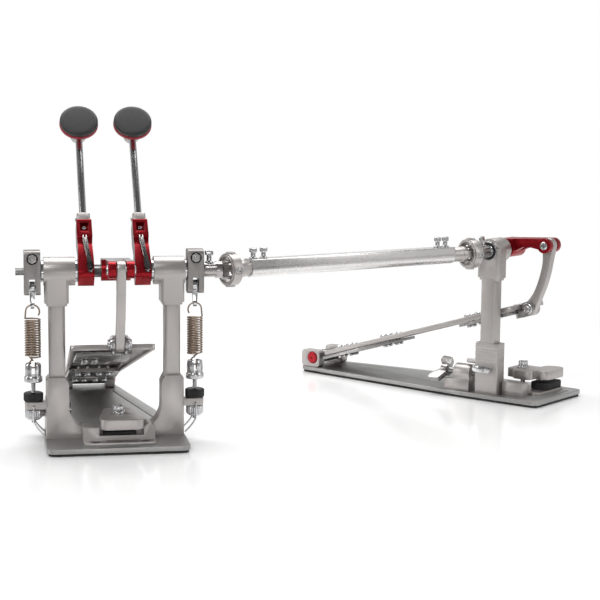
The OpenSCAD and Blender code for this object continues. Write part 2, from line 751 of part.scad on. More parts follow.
// Heel bracket with the hinge barrel, and toe bracket with the ears that hold the link
module brackets(heel, toe_x, link_x, bolt_x, slope) on_board(slope) {
    pivot_u = pivot(slope)[0];
    pivot_w = pivot(slope)[1];
    difference() {
        union() {
            rod_x(heel[0] + block_w + play, heel[1] - block_w - play, 8.6);
            translate([heel[0] + block_w + play, -24, -6])
                cube([heel[1] - heel[0] - 2 * (block_w + play), 22, bracket_t]);
            translate([heel[0] + 2, -132, -6]) cube([heel[1] - heel[0] - 4, 116, bracket_t]);
        }
        rod_x(-200, 200, 4 + fit_gap);
        bolt_rows(bolt_x) rod_z(-20, 20, 2.05);
        translate([heel[0] + 16, -104, -10]) cube([heel[1] - heel[0] - 32, 50, 20]);
    }
    difference() {
        union() {
            translate([toe_x[0], -316, -6]) cube([toe_x[1] - toe_x[0], 74, bracket_t]);
            for (x = [link_x + ear_gap, link_x - ear_gap - ear_t]) along_x(x, x + ear_t)
                union() {
                    translate([-pivot_u, pivot_w]) circle(9.2);
                    translate([-pivot_u, pivot_w - 9.2]) square([pivot_u - 311, 18.4]);
                    translate([-pivot_u, -6]) square([40, bracket_t]);
                }
        }
        translate([0, -pivot_u, pivot_w]) rod_x(-200, 200, pin_r);
        bolt_rows(bolt_x) rod_z(-20, 20, 2.05);
        translate([link_x - 5.4, -pivot_u - 20, -20]) cube([10.8, 34, 40]);
    }
}

// Button-headed bolts with nuts below, and the pin with its two caps in the ears
module board_bolts(link_x, bolt_x, slope) on_board(slope) {
    bolt_rows(bolt_x) {
        rod_z(-8, board_top, 2);
        rod_z(board_top, board_top + 3, 3.4);
        hex_z(-9, -6, 6.6);
    }
    translate([link_x, -pivot(slope)[0], pivot(slope)[1]]) {
        rod_x(-8.4, 8.4, pin_r - 0.02);
        for (s = [-1, 1]) {
            rod_x(s > 0 ? 8.4 : -10.4, s > 0 ? 10.4 : -8.4, 7.8);
            hex_x(s > 0 ? 10.4 : -13.4, s > 0 ? 13.4 : -10.4, 9);
        }
    }
}

module main_footboard() color(silver)
    footboard([-43, 18], [-49.2, 43], main_link_x, main_bolt_x, main_board_angle);
module second_footboard() color(silver) second_pedal()
    footboard([8.5, 68], [12.4, 100], second_link_x, second_bolt_x, second_board_angle);
module main_brackets() color(dark_grey)
    brackets(main_heel, [main_link_x - 46, main_link_x + 14], main_link_x, main_bolt_x, main_board_angle);
module second_brackets() color(dark_grey) second_pedal()
    brackets(second_heel, [13, second_link_x + 14], second_link_x, second_bolt_x, second_board_angle);
module main_board_bolts() color(chrome) board_bolts(main_link_x, main_bolt_x, main_board_angle);
module second_board_bolts() color(chrome) second_pedal()
    board_bolts(second_link_x, second_bolt_x, second_board_angle);

// ---- clamps, wing bolts and drum key ----

// Stepped block under the hoop clamp, on a plate that holds the two anchor holes
module hoop_clamp_bracket() color(silver) difference() {
    union() {
        translate([0, 0, plate_top]) linear_extrude(3) soft_rect([-37, -58], [40, -16], 3);
        along_y(-44, -16) polygon(concat([[-37, plate_top], [-37, 25], [-20, 25], [-20, 16], [28, 16]],
            [for (i = [0:6]) [34 - 6 * cos(i * 15), 22 + 6 * sin(i * 15)]],
            [[36, 28], [40, 24], [40, plate_top]]));
    }
    anchor_holes(plate_top - 1, plate_top + 20);
    translate([clamp_x, bolt_y, 0]) rod_z(0, 40, 3.1);
}

// Pivoting jaw that presses the drum hoop on the rubber pad
module hoop_clamp_jaw() color(silver) difference() {
    translate([clamp_x, 0, jaw_z]) linear_extrude(11)
        polygon(rounded([[-21, -60], [25, -60], [25, -38], [15, 10], [-14, 10], [-21, -38]], 8));
    translate([clamp_x, bolt_y, 0]) rod_z(0, 60, 4.4);
}

// Square-headed key bolt whose collar bears on a jaw's top; it stands in the plate below
module jaw_bolt() {
    rod_z(plate_top, jaw_z + 11, 3);
    rod_z(jaw_z + 11, jaw_z + 13.5, 7.7);
    rod_z(jaw_z + 13.5, jaw_z + 20, 6.4);
}
module hoop_clamp_bolt() color(chrome) translate([clamp_x, bolt_y, 0]) jaw_bolt();

// Rubber pads below both jaws
module clamp_pads() color(black) {
    translate([0, 0, 16]) linear_extrude(pad_top - 16) soft_rect([clamp_x - 18, -43], [clamp_x + 18, -27], 6);
    second_pedal() translate([0, 0, plate_top + 3]) linear_extrude(pad_top - plate_top - 3)
        soft_rect([48, -57], [88, -31], 6);
}

// Fulcrum block and wear plate on the second base, and the blocks that hold both wing bolts
module clamp_blocks() color(silver) {
    difference() {
        translate([wing_block_x, wing_y - 13, plate_top]) cube([23, 26, 36]);
        translate([0, wing_y, wing_z]) rod_x(wing_block_x - 1, wing_block_x + 24, 4.05);
    }
    second_pedal() {
        translate([0, -49, plate_top]) cube([14, 30, 17]);
        difference() {
            translate([0, 0, plate_top]) linear_extrude(3) soft_rect([22, -58], [92, -8], 8);
            translate([second_bolt_at[0], second_bolt_at[1], 0]) rod_z(0, 40, 3.1);
        }
        translate([second_wing[0], 0, 0]) difference() {
            union() {
                translate([-11, 24, plate_top]) cube([20, 36, 14]);
                translate([0, 0, second_wing[2]]) rod_y(24, 48, 11);
                translate([-9, 24, plate_top]) cube([18, 24, second_wing[2] - plate_top]);
            }
            translate([0, 0, second_wing[2]]) rod_y(20, 70, 4.05);
        }
    }
}

module second_clamp_jaw() color(silver) second_pedal() difference() {
    translate([0, 0, jaw_z]) linear_extrude(11) union() {
        soft_rect([42, -60], [92, -32], 12);
        soft_rect([29, -42], [52, -14], 9);
        soft_rect([38, -40], [74, -2], 6);
    }
    translate([second_bolt_at[0], second_bolt_at[1], 0]) rod_z(0, 60, 4.4);
}
module second_clamp_bolt() color(chrome) second_pedal()
    translate([second_bolt_at[0], second_bolt_at[1], 0]) jaw_bolt();

// Wing bolt with its shank along +X: two rounded blades of length reach and the given width
module wing_bolt(shank, reach, width) {
    rod_x(0, shank, 4);
    rod_x(-9, 0, 8);
    for (s = [-1, 1]) along_y(-3.5, 3.5)
        polygon(rounded([[-1, 0], [0, s * 6], [-5, s * reach], [-width, s * (reach + 1)],
            [-width, s * (reach - 7)], [-9, 0]], 2));
}
module main_wing_bolt() color(chrome) translate([wing_block_x - 0.5, wing_y, wing_z]) {
    rotate([70, 0, 0]) wing_bolt(28, 20, 17);
    rod_x(24.5, 29, 9.4);
}
module second_wing_bolt() color(silver) second_pedal() translate(second_wing)
    rotate([0, 0, -90]) rotate([-58, 0, 0]) wing_bolt(38, 21, 20);

// Square-socket key clipped to the second column
module drum_key() color(chrome) second_pedal() translate([-second_half_x, 4, 40]) {
    rotate([0, -90, 0]) rotate([0, 0, 90]) translate([0, 0, 0.3]) {
        linear_extrude(5) soft_rect([-13, -4], [13, 4], 3.4);
        translate([0, 0, 5]) linear_extrude(3) soft_rect([-4.5, -3.5], [4.5, 3.5], 2);
    }
}

main_base_plate();
second_base_plate();
rubber_soles();
main_frame();
second_column();
posts();
left_bearing_housing();
right_bearing_housing();
second_bearing_housing();
ball_bearings();
hinge_blocks();
hinge_pins();
spring_rods();
lock_nuts();
return_springs();
hoop_clamp_bracket();
clamp_blocks();
clamp_pads();
main_axle();
left_rocker();
left_beater_holder();
main_axle_fasteners();
main_cam();
left_beater_shaft();
left_beater_hub();
left_beater_rim();
left_beater_pad();
transfer_axle();
right_rocker();
right_beater_holder();
transfer_axle_fasteners();
right_beater_shaft();
right_beater_hub();
right_beater_rim();
right_beater_pad();
drive_shaft_tube();
drive_shaft_yokes();
universal_rings();
shaft_key_bolts();
second_axle();
second_cam();
main_footboard();
main_brackets();
main_board_bolts();
second_footboard();
second_brackets();
second_board_bolts();
main_link();
second_link();
left_hanger();
right_hanger();
left_adjuster_nut();
right_adjuster_nut();
hoop_clamp_jaw();
hoop_clamp_bolt();
second_clamp_jaw();
second_clamp_bolt();
main_wing_bolt();
second_wing_bolt();
drum_key();
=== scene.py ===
import json
import math

import bmesh
import bpy
from mathutils import Matrix, Vector


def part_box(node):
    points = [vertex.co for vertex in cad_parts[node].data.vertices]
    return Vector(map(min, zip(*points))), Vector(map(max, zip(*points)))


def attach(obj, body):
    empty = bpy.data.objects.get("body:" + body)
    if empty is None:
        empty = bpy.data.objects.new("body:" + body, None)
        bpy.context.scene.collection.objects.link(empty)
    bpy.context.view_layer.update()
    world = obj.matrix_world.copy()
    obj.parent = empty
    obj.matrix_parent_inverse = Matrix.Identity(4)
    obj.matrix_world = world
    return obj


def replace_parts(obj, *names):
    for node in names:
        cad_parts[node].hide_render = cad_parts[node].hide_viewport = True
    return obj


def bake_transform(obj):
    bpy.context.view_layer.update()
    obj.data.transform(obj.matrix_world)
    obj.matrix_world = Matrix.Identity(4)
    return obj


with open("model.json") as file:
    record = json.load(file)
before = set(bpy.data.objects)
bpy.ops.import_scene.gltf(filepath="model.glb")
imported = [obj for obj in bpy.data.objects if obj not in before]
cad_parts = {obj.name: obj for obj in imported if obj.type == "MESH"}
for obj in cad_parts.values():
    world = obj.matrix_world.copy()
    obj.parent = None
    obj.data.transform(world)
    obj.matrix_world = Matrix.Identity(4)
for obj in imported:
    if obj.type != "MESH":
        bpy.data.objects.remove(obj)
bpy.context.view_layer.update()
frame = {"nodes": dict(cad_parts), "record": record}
MM = 0.001
nodes = frame["nodes"]
record = frame["record"]
bodies_of = {n: b for b, ns in record["behaviour"]["bodies"].items() for n in ns}
slot_of = {s["node"]: s["material_slot"] for s in record["subparts"]}


# ---------------------------------------------------------------- materials

def node_tree(name):
    mat = bpy.data.materials.new(name)
    mat.use_nodes = True
    tree = mat.node_tree
    shader = tree.nodes["Principled BSDF"]
    coords = tree.nodes.new("ShaderNodeTexCoord")
    return mat, tree, shader, coords.outputs["Object"]


def noise(tree, coords, scale, detail=3.0, rough=0.55, stretch=None):
    if stretch is not None:
        mapping = tree.nodes.new("ShaderNodeMapping")
        mapping.inputs["Scale"].default_value = stretch
        tree.links.new(coords, mapping.inputs["Vector"])
        coords = mapping.outputs["Vector"]
    tex = tree.nodes.new("ShaderNodeTexNoise")
    tex.inputs["Scale"].default_value = scale
    tex.inputs["Detail"].default_value = detail
    tex.inputs["Roughness"].default_value = rough
    tree.links.new(coords, tex.inputs["Vector"])
    return tex.outputs["Fac"]


def spread(tree, value, low, high, start=0.3, end=0.7):
    ranged = tree.nodes.new("ShaderNodeMapRange")
    ranged.inputs["From Min"].default_value = start
    ranged.inputs["From Max"].default_value = end
    ranged.inputs["To Min"].default_value = low
    ranged.inputs["To Max"].default_value = high
    tree.links.new(value, ranged.inputs["Value"])
    return ranged.outputs["Result"]


def mix(tree, fac, a, b):
    """A colour between a and b; each is a colour or another node's output."""
    node = tree.nodes.new("ShaderNodeMix")
    node.data_type = "RGBA"
    tree.links.new(fac, node.inputs["Factor"])
    for socket, value in ((node.inputs[6], a), (node.inputs[7], b)):
        if isinstance(value, tuple):
            socket.default_value = (*value, 1.0)
        else:
            tree.links.new(value, socket)
    return node.outputs[2]


def edge_mask(tree, radius):
    """1 along sharp edges within the radius, 0 on flat faces."""
    bevel = tree.nodes.new("ShaderNodeBevel")
    bevel.samples = 4
    bevel.inputs["Radius"].default_value = radius
    geometry = tree.nodes.new("ShaderNodeNewGeometry")
    dot = tree.nodes.new("ShaderNodeVectorMath")
    dot.operation = "DOT_PRODUCT"
    tree.links.new(bevel.outputs["Normal"], dot.inputs[0])
    tree.links.new(geometry.outputs["Normal"], dot.inputs[1])
    return spread(tree, dot.outputs["Value"], 1.0, 0.0, 0.75, 0.99)


def bump(tree, shader, height, strength, distance):
    node = tree.nodes.new("ShaderNodeBump")
    node.inputs["Strength"].default_value = strength
    node.inputs["Distance"].default_value = distance
    tree.links.new(height, node.inputs["Height"])
    tree.links.new(node.outputs["Normal"], shader.inputs["Normal"])
    return node


def finish_of(name, colour, second, metallic, rough, grain, grain_depth, edge_highlight=None, stretch=None,
              blotch=14.0, edge_highlight_width=0.0006):
    """A surface whose colour and roughness drift over two scales, with a fine grain and a painted highlight
    along its edges.
    """
    mat, tree, shader, coords = node_tree(name)
    wide = noise(tree, coords, blotch, 4.0)
    fine = noise(tree, coords, grain, 2.0, 0.7, stretch)
    base = mix(tree, spread(tree, wide, 0.0, 1.0), colour, second)
    speck = mix(tree, spread(tree, fine, 0.0, 0.35, 0.35, 0.75), base, tuple(c * 0.6 for c in colour))
    # edges within the given width are painted lighter: a painted edge highlight, broken into patches by noise
    if edge_highlight is not None:
        mask = edge_mask(tree, edge_highlight_width)
        broken = tree.nodes.new("ShaderNodeMath")
        broken.operation = "MULTIPLY"
        tree.links.new(mask, broken.inputs[0])
        tree.links.new(spread(tree, noise(tree, coords, 260.0, 3.0), 0.35, 1.0, 0.35, 0.6), broken.inputs[1])
        speck = mix(tree, broken.outputs["Value"], speck, edge_highlight)
    tree.links.new(speck, shader.inputs["Base Color"])
    shader.inputs["Metallic"].default_value = metallic
    smudge = noise(tree, coords, blotch * 3.1, 5.0, 0.6)
    tree.links.new(spread(tree, smudge, rough[0], rough[1]), shader.inputs["Roughness"])
    bump(tree, shader, fine, 0.6, grain_depth)
    return mat


MATERIALS = {
    "silver": finish_of("blasted_aluminium", (0.50, 0.470, 0.452), (0.44, 0.415, 0.40), 0.82, (0.33, 0.44),
                        2400.0, 0.00005, edge_highlight=(0.80, 0.78, 0.76)),
    "base": finish_of("satin_plate", (0.40, 0.395, 0.39), (0.335, 0.33, 0.325), 0.80, (0.32, 0.44),
                      2200.0, 0.00003, edge_highlight=(0.62, 0.61, 0.60), stretch=(1.0, 0.08, 1.0), edge_highlight_width=0.0009),
    "rubber": finish_of("black_rubber", (0.022, 0.022, 0.023), (0.03, 0.03, 0.03), 0.0, (0.62, 0.82),
                        900.0, 0.00008),
    "black": finish_of("black_oxide", (0.018, 0.018, 0.019), (0.028, 0.028, 0.028), 0.45, (0.30, 0.46),
                       1800.0, 0.00003, edge_highlight=(0.10, 0.10, 0.10)),
    "pad": finish_of("beater_rubber", (0.016, 0.016, 0.017), (0.022, 0.022, 0.023), 0.0, (0.42, 0.56),
                     700.0, 0.00006),
    "red": finish_of("red_anodised", (0.33, 0.005, 0.012), (0.24, 0.003, 0.009), 0.75, (0.24, 0.34),
                     1900.0, 0.00002, edge_highlight=(0.42, 0.04, 0.05)),
    "cap": finish_of("red_cap", (0.40, 0.007, 0.016), (0.32, 0.005, 0.012), 0.60, (0.20, 0.30),
                     1900.0, 0.00001),
    "machined": finish_of("milled_aluminium", (0.42, 0.40, 0.39), (0.35, 0.335, 0.325), 0.85, (0.26, 0.36),
                          2000.0, 0.00003, edge_highlight=(0.62, 0.60, 0.59), stretch=(1.0, 0.06, 1.0)),
    "casting": finish_of("grey_casting", (0.33, 0.31, 0.30), (0.275, 0.26, 0.25), 0.80, (0.34, 0.46),
                         2400.0, 0.00005, edge_highlight=(0.55, 0.53, 0.52)),
    "satin": finish_of("satin_zinc", (0.40, 0.39, 0.38), (0.33, 0.32, 0.315), 0.92, (0.22, 0.34),
                       1700.0, 0.00003, edge_highlight=(0.66, 0.65, 0.64)),
    "rim": finish_of("crimson_plastic", (0.34, 0.012, 0.028), (0.27, 0.009, 0.022), 0.0, (0.30, 0.42),
                     1200.0, 0.00002),
    "hub": finish_of("grey_nylon", (0.66, 0.66, 0.64), (0.58, 0.58, 0.57), 0.0, (0.36, 0.50),
                     1200.0, 0.00003),
    "chrome": finish_of("polished_chrome", (0.60, 0.60, 0.61), (0.52, 0.52, 0.53), 1.0, (0.08, 0.16),
                        3000.0, 0.000006, stretch=(1.0, 1.0, 0.2)),
    "tube": finish_of("bright_drawn_tube", (0.74, 0.725, 0.715), (0.68, 0.666, 0.657), 0.95, (0.24, 0.32),
                      1500.0, 0.00001, stretch=(0.04, 1.0, 1.0)),
    "coupler": finish_of("turned_steel", (0.50, 0.475, 0.46), (0.42, 0.40, 0.39), 1.0, (0.18, 0.28),
                         1500.0, 0.00002, edge_highlight=(0.8, 0.78, 0.76), stretch=(1.0, 0.2, 0.2)),
    "dark_steel": finish_of("dark_brushed_steel", (0.24, 0.235, 0.23), (0.17, 0.17, 0.17), 0.85,
                            (0.28, 0.42), 1500.0, 0.00002, edge_highlight=(0.45, 0.45, 0.45), stretch=(0.1, 1.0, 1.0)),
    "spring": finish_of("bronze_spring_wire", (0.40, 0.315, 0.25), (0.29, 0.22, 0.17), 0.9, (0.24, 0.38),
                        1500.0, 0.00002),
}


def paint(obj, slot):
    obj.data.materials.clear()
    obj.data.materials.append(MATERIALS[slot])


for name, obj in nodes.items():
    paint(obj, slot_of[name])


# ---------------------------------------------------------------- mesh helpers

def add(mesh_bm, name, body, slot, smooth=30.0, finish=None):
    """A piece from mesh data, riding on a body; finish is its material where the slot's own won't do."""
    bmesh.ops.recalc_face_normals(mesh_bm, faces=mesh_bm.faces)
    mesh = bpy.data.meshes.new(name)
    mesh_bm.to_mesh(mesh)
    mesh_bm.free()
    obj = bpy.data.objects.new(name, mesh)
    bpy.context.scene.collection.objects.link(obj)
    shade(obj, smooth)
    mesh.materials.append(MATERIALS[finish or slot])
    if body is not None:
        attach(obj, body)
    return obj


def shade(obj, angle):
    mesh = obj.data
    for p in mesh.polygons:
        p.use_smooth = True
    mesh.set_sharp_from_angle(angle=math.radians(angle))


def refined(node, width=0.0006, segments=2, angle=32.0, finish=None, milled=None):
    """The node's shape with its real edge breaks: coplanar triangles joined, then every sharp edge rounded.
    milled lists the directions whose flat faces are left as bare machined metal."""
    source = nodes[node]
    bm = bmesh.new()
    bm.from_mesh(source.data)
    bmesh.ops.remove_doubles(bm, verts=bm.verts, dist=1e-6)
    bmesh.ops.dissolve_limit(bm, angle_limit=math.radians(0.6), verts=bm.verts, edges=bm.edges,
                             delimit={"NORMAL"})
    mesh = bpy.data.meshes.new("fine_" + node)
    bm.to_mesh(mesh)
    bm.free()
    obj = bpy.data.objects.new("fine_" + node, mesh)
    bpy.context.scene.collection.objects.link(obj)
    mod = obj.modifiers.new("edges", "BEVEL")
    mod.width = width
    mod.segments = segments
    mod.limit_method = "ANGLE"
    mod.angle_limit = math.radians(angle)
    mod.use_clamp_overlap = True
    mod.harden_normals = False
    mod.miter_outer = "MITER_ARC"
    mesh.materials.append(MATERIALS[finish or slot_of[node]])
    for p in mesh.polygons:
        p.use_smooth = True
    apply_modifiers(obj)
    obj.data.set_sharp_from_angle(angle=math.radians(38))
    if milled:
        obj.data.materials.append(MATERIALS["machined"])
        for p in obj.data.polygons:
            if p.area > MILLED_AREA and any(abs(p.normal.dot(Vector(d))) > 0.995 for d in milled):
                p.material_index = 1
    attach(obj, bodies_of[node])
    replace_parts(obj, node)
    return obj


def apply_modifiers(obj):
    graph = bpy.context.evaluated_depsgraph_get()
    mesh = bpy.data.meshes.new_from_object(obj.evaluated_get(graph))
    obj.modifiers.clear()
    old = obj.data
    obj.data = mesh
    bpy.data.meshes.remove(old)


def bevel_piece(obj, width, segments, angle=32.0):
    """Rounds the sharp edges of a piece."""
    mod = obj.modifiers.new("edges", "BEVEL")
    mod.width = width
    mod.segments = segments
    mod.limit_method = "ANGLE"
    mod.angle_limit = math.radians(angle)
    mod.use_clamp_overlap = True
    apply_modifiers(obj)
    obj.data.set_sharp_from_angle(angle=math.radians(38))


def basis(axis, up=(0, 0, 1)):
    """A rotation whose Z is the axis and whose Y is as near to up as it can be."""
    z = Vector(axis).normalized()
    u = Vector(up)
    if abs(z.dot(u.normalized())) > 0.99:
        u = Vector((0, 1, 0))
    x = u.cross(z).normalized()
    y = z.cross(x)
    return Matrix((x, y, z)).transposed().to_4x4()


def soften(profile, r=0.5, steps=3):
    """Rounds the corners of an open profile of (radius, height) points in mm."""
    out = [Vector(profile[0])]
    for a, p, b in zip(profile, profile[1:], profile[2:]):
        a, p, b = Vector(a), Vector(p), Vector(b)
        u, v = (a - p), (b - p)
        if u.length < 1e-6 or v.length < 1e-6 or abs(u.normalized().cross(v.normalized())) < 0.05:
            out.append(p)
            continue
        cut = min(r, u.length * 0.45, v.length * 0.45)
        start, end = p + u.normalized() * cut, p + v.normalized() * cut
        for i in range(steps + 1):
            t = i / steps
            out.append(start * (1 - t) ** 2 + p * 2 * t * (1 - t) + end * t ** 2)
    out.append(Vector(profile[-1]))
    return out


def lathe(bm, profile, matrix, segments=64, ripple=None):
    """Turns a profile of (radius, height) points in mm about the matrix's Z.
    ripple(angle, point) scales the radius."""
    rings = []
    for p in profile:
        r, h = p[0], p[1]
        if r < 1e-4:
            rings.append([bm.verts.new(matrix @ Vector((0, 0, h * MM)))])
            continue
        ring = []
        for i in range(segments):
            a = 2 * math.pi * i / segments
            q = r * (ripple(a, p) if ripple else 1.0)
            ring.append(bm.verts.new(matrix @ Vector((q * math.cos(a) * MM, q * math.sin(a) * MM, h * MM))))
        rings.append(ring)
    for lower, upper in zip(rings, rings[1:]):
        for i in range(segments):
            j = (i + 1) % segments
            if len(lower) == 1 and len(upper) == 1:
                continue
            if len(lower) == 1:
                bm.faces.new((lower[0], upper[j], upper[i]))
            elif len(upper) == 1:
                bm.faces.new((lower[i], lower[j], upper[0]))
            else:
                bm.faces.new((lower[i], lower[j], upper[j], upper[i]))
    return bm


def closed(profile):
    """A profile closed on itself for a turned ring."""
    return list(profile) + [profile[0]]


def sweep(bm, points, radius, sides=10, caps=True):
    """A round wire of one radius (mm) along points (metres)."""
    points = [Vector(p) for p in points]
    normal = None
    rings = []
    for i, p in enumerate(points):
        t = (points[min(i + 1, len(points) - 1)] - points[max(i - 1, 0)]).normalized()
        if normal is None:
            normal = t.orthogonal().normalized()
        normal = (normal - t * normal.dot(t)).normalized()
        side = t.cross(normal)
        rings.append([bm.verts.new(p + (normal * math.cos(2 * math.pi * k / sides)
                                        + side * math.sin(2 * math.pi * k / sides)) * radius * MM)
                      for k in range(sides)])
    for a, b in zip(rings, rings[1:]):
        for k in range(sides):
            j = (k + 1) % sides
            bm.faces.new((a[k], a[j], b[j], b[k]))
    if caps:
        bm.faces.new(list(reversed(rings[0])))
        bm.faces.new(rings[-1])
    return bm


def smooth_path(points, steps=8):
    """A smooth curve through the points."""
    pts = [Vector(p) for p in points]
    pts = [pts[0] * 2 - pts[1]] + pts + [pts[-1] * 2 - pts[-2]]
    out = []
    for p0, p1, p2, p3 in zip(pts, pts[1:], pts[2:], pts[3:]):
        for i in range(steps):
            t = i / steps
            out.append(0.5 * (2 * p1 + (p2 - p0) * t + (2 * p0 - 5 * p1 + 4 * p2 - p3) * t * t
                              + (3 * p1 - p0 - 3 * p2 + p3) * t ** 3))
    out.append(pts[-2])
    return out


def extrude(bm, outline, thickness, matrix, rim=0.5, steps=2):
    """A plate from an outline (mm) with rounded edges, from height 0 to its thickness (mm)."""
    outline = [Vector(p) for p in outline]
    count = len(outline)
    area_sum = sum(outline[i].x * outline[(i + 1) % count].y - outline[(i + 1) % count].x * outline[i].y
                   for i in range(count))
    if area_sum < 0:
        outline.reverse()

    def inset(d):
        out = []
        for i in range(count):
            a, p, b = outline[i - 1], outline[i], outline[(i + 1) % count]
            n1 = Vector((-(p - a).y, (p - a).x)).normalized()
            n2 = Vector((-(b - p).y, (b - p).x)).normalized()
            n = (n1 + n2)
            n = n.normalized() / max(0.35, n.normalized().dot(n1))
            out.append(p + n * d)
        return out

    levels = []
    for i in range(steps + 1):
        a = math.pi / 2 * i / steps
        levels.append((rim * (1 - math.sin(a)), rim * (1 - math.cos(a))))
    levels += [(d, thickness - h) for d, h in reversed(levels)]
    rings = []
    for d, h in levels:
        rings.append([bm.verts.new(matrix @ Vector((p.x * MM, p.y * MM, h * MM))) for p in inset(d)])
    for a, b in zip(rings, rings[1:]):
        for k in range(count):
            j = (k + 1) % count
            bm.faces.new((a[k], a[j], b[j], b[k]))
    bm.faces.new(list(reversed(rings[0])))
    bm.faces.new(rings[-1])
    return bm


# ---------------------------------------------------------------- frames taken from the CAD model

def joint(name):
    return next(j for j in record["behaviour"]["joints"] if j["name"] == name)


def upright(at, x_axis):
    """A frame at a point whose X is the axis given and whose Z is up."""
    x = Vector(x_axis).normalized()
    y = Vector((0, 0, 1)).cross(x)
    return Matrix.Translation(Vector(at)) @ Matrix((x, y, Vector((0, 0, 1)))).transposed().to_4x4()


def shifted(matrix, x, y, z):
    """The frame moved by millimetres along its own axes."""
    return matrix @ Matrix.Translation(Vector((x, y, z)) * MM)


def turned(matrix, axis):
    """The frame turned so that its Z lies along the axis, given in the frame itself."""
    return matrix @ basis(axis)


AXLE_AT = Vector(joint("main_axle_turn")["pos_m"])
AXLE_H = AXLE_AT.z / MM
MAIN = Matrix.Identity(4)
second_at = Vector(joint("second_axle_turn")["pos_m"])
SECOND = upright((second_at.x, second_at.y, 0), joint("second_axle_turn")["axis"])
SHAFT = upright(joint("drive_shaft_turn")["pos_m"], joint("drive_shaft_turn")["axis"])
SECOND_JOINT = -52.0  # the second universal joint, along the second axle from its post
SHAFT_LEN = ((SECOND @ Vector((SECOND_JOINT * MM, 0, AXLE_AT.z))) - SHAFT.translation).length / MM
beater_axis = Vector(joint("left_beater_height")["axis"])
LEAN = math.atan2(beater_axis.y, beater_axis.z)
SIDES = {"left": -1, "right": 1}


def centre_of(node):
    low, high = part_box(node)
    return (Vector(low) + Vector(high)) / 2


def middle(node, axis):
    return centre_of(node)[axis] / MM


def beater_frame(side):
    """At the axle in a beater's middle, Z along its shaft."""
    x = middle(side + "_beater_pad", 0)
    return Matrix.Translation(Vector((x * MM, AXLE_AT.y, AXLE_AT.z))) @ Matrix.Rotation(-LEAN, 4, "X")


def board_frame(pedal, matrix):
    """At the hinge pin, Y back to the heel and Z out of the tread, X along the hinge."""
    board = nodes[pedal + "_footboard"]
    hinge = Vector(joint(pedal + "_pedal_press")["pos_m"])
    local = matrix.inverted() @ hinge
    # the tread's slope is that of its largest flat face
    flat = max(board.data.polygons, key=lambda p: p.area)
    n = matrix.to_3x3().inverted() @ flat.normal
    if n.z < 0:
        n = -n
    slope = math.atan2(n.y, n.z)
    return matrix @ Matrix.Translation(local) @ Matrix.Rotation(-slope, 4, "X")


# sizes and places in mm, as in the CAD model: X across the pedal, Y back, Z up
PEDALS = {"main": MAIN, "second": SECOND}
LINK_X = {"main": middle("main_link", 0), "second": (SECOND.inverted() @ centre_of("second_link")).x / MM}
LINK_LOW, LINK_TOP = Vector((-28.4, 114.2)), Vector((-52.4, AXLE_H + 6.6))  # Y and Z of its two eyes
LINK_THICK, LINK_EYE, LINK_HALF, LINK_SAG = 9.6, 9.4, 5.6, 6.4
HINGE_Y, HINGE_Z = 288, 21
HEEL_SPAN = {"main": (-45, 20.5), "second": (4, 69.5)}
TOE_SPAN = {"main": (-49.2, 43), "second": (12.4, 100)}
FIRST_BOLT = {"main": -31, "second": 19}
BOLT_ROWS = (((0, 11, 25, 36), (38, 116)), ((0, 11), (254, 272)))
POST_X, SECOND_HOUSING = 62.7, (-8.0, 20.2)
FRAME_SIDE = 76.4
TUBE_START, TUBE_END, TUBE_TOP = 24.0, 32.0, 10.2
KEY_SEAT = 7.6  # a coupler's flat top, above the axle
COUPLER_BOLT_X, SECOND_BOLT_X = 104.2, SECOND_JOINT + 26
COUPLER_END_X, SECOND_COUPLER_END_X = 97.2, -18.0
ROCKER_FRONT, ROCKER_SCREW_Z, ROCKER_PIN_Z = -9.0, 14.5, -17.0
CUP_LOW, CUP_HIGH = 69, 90
SPRING_LOW = 95.0


# ---------------------------------------------------------------- refined CAD pieces

SMALL, MEDIUM, LARGE = 0.0004, 0.0008, 0.0014
PLATE, BROAD, ROUND = 0.0012, 0.0012, 0.002
MILLED_AREA = 0.00002  # the smallest face, in square metres, that counts as milled
X_AXIS, Z_AXIS = (1, 0, 0), (0, 0, 1)

for n in ("main_base_plate", "second_base_plate"):
    refined(n, PLATE, 3)
for n in ("rubber_soles", "hoop_clamp_bracket", "clamp_blocks", "main_footboard", "second_footboard",
          "drum_key"):
    refined(n, MEDIUM, 2)
for n in ("main_brackets", "second_brackets"):
    refined(n, MEDIUM, 2, finish="satin")
for n in ("main_frame", "second_column", "left_bearing_housing", "right_bearing_housing",
          "second_bearing_housing", "hoop_clamp_jaw", "second_clamp_jaw", "hinge_blocks"):
    refined(n, LARGE, 3)
for n in ("universal_rings", "left_hanger", "right_hanger"):
    refined(n, MEDIUM, 3)
for n in ("left_rocker", "right_rocker"):
    refined(n, BROAD, 3, finish="casting")
for n in ("left_beater_holder", "right_beater_holder"):
    refined(n, MEDIUM, 3, milled=[X_AXIS])
refined("main_cam", MEDIUM, 3, milled=[Z_AXIS])
refined("second_cam", MEDIUM, 3)
for n in ("main_wing_bolt", "second_wing_bolt"):
    refined(n, ROUND, 4, finish="satin")
for n in ("main_axle", "drive_shaft_yokes"):
    refined(n, SMALL, 2)
refined("clamp_pads", LARGE, 3)


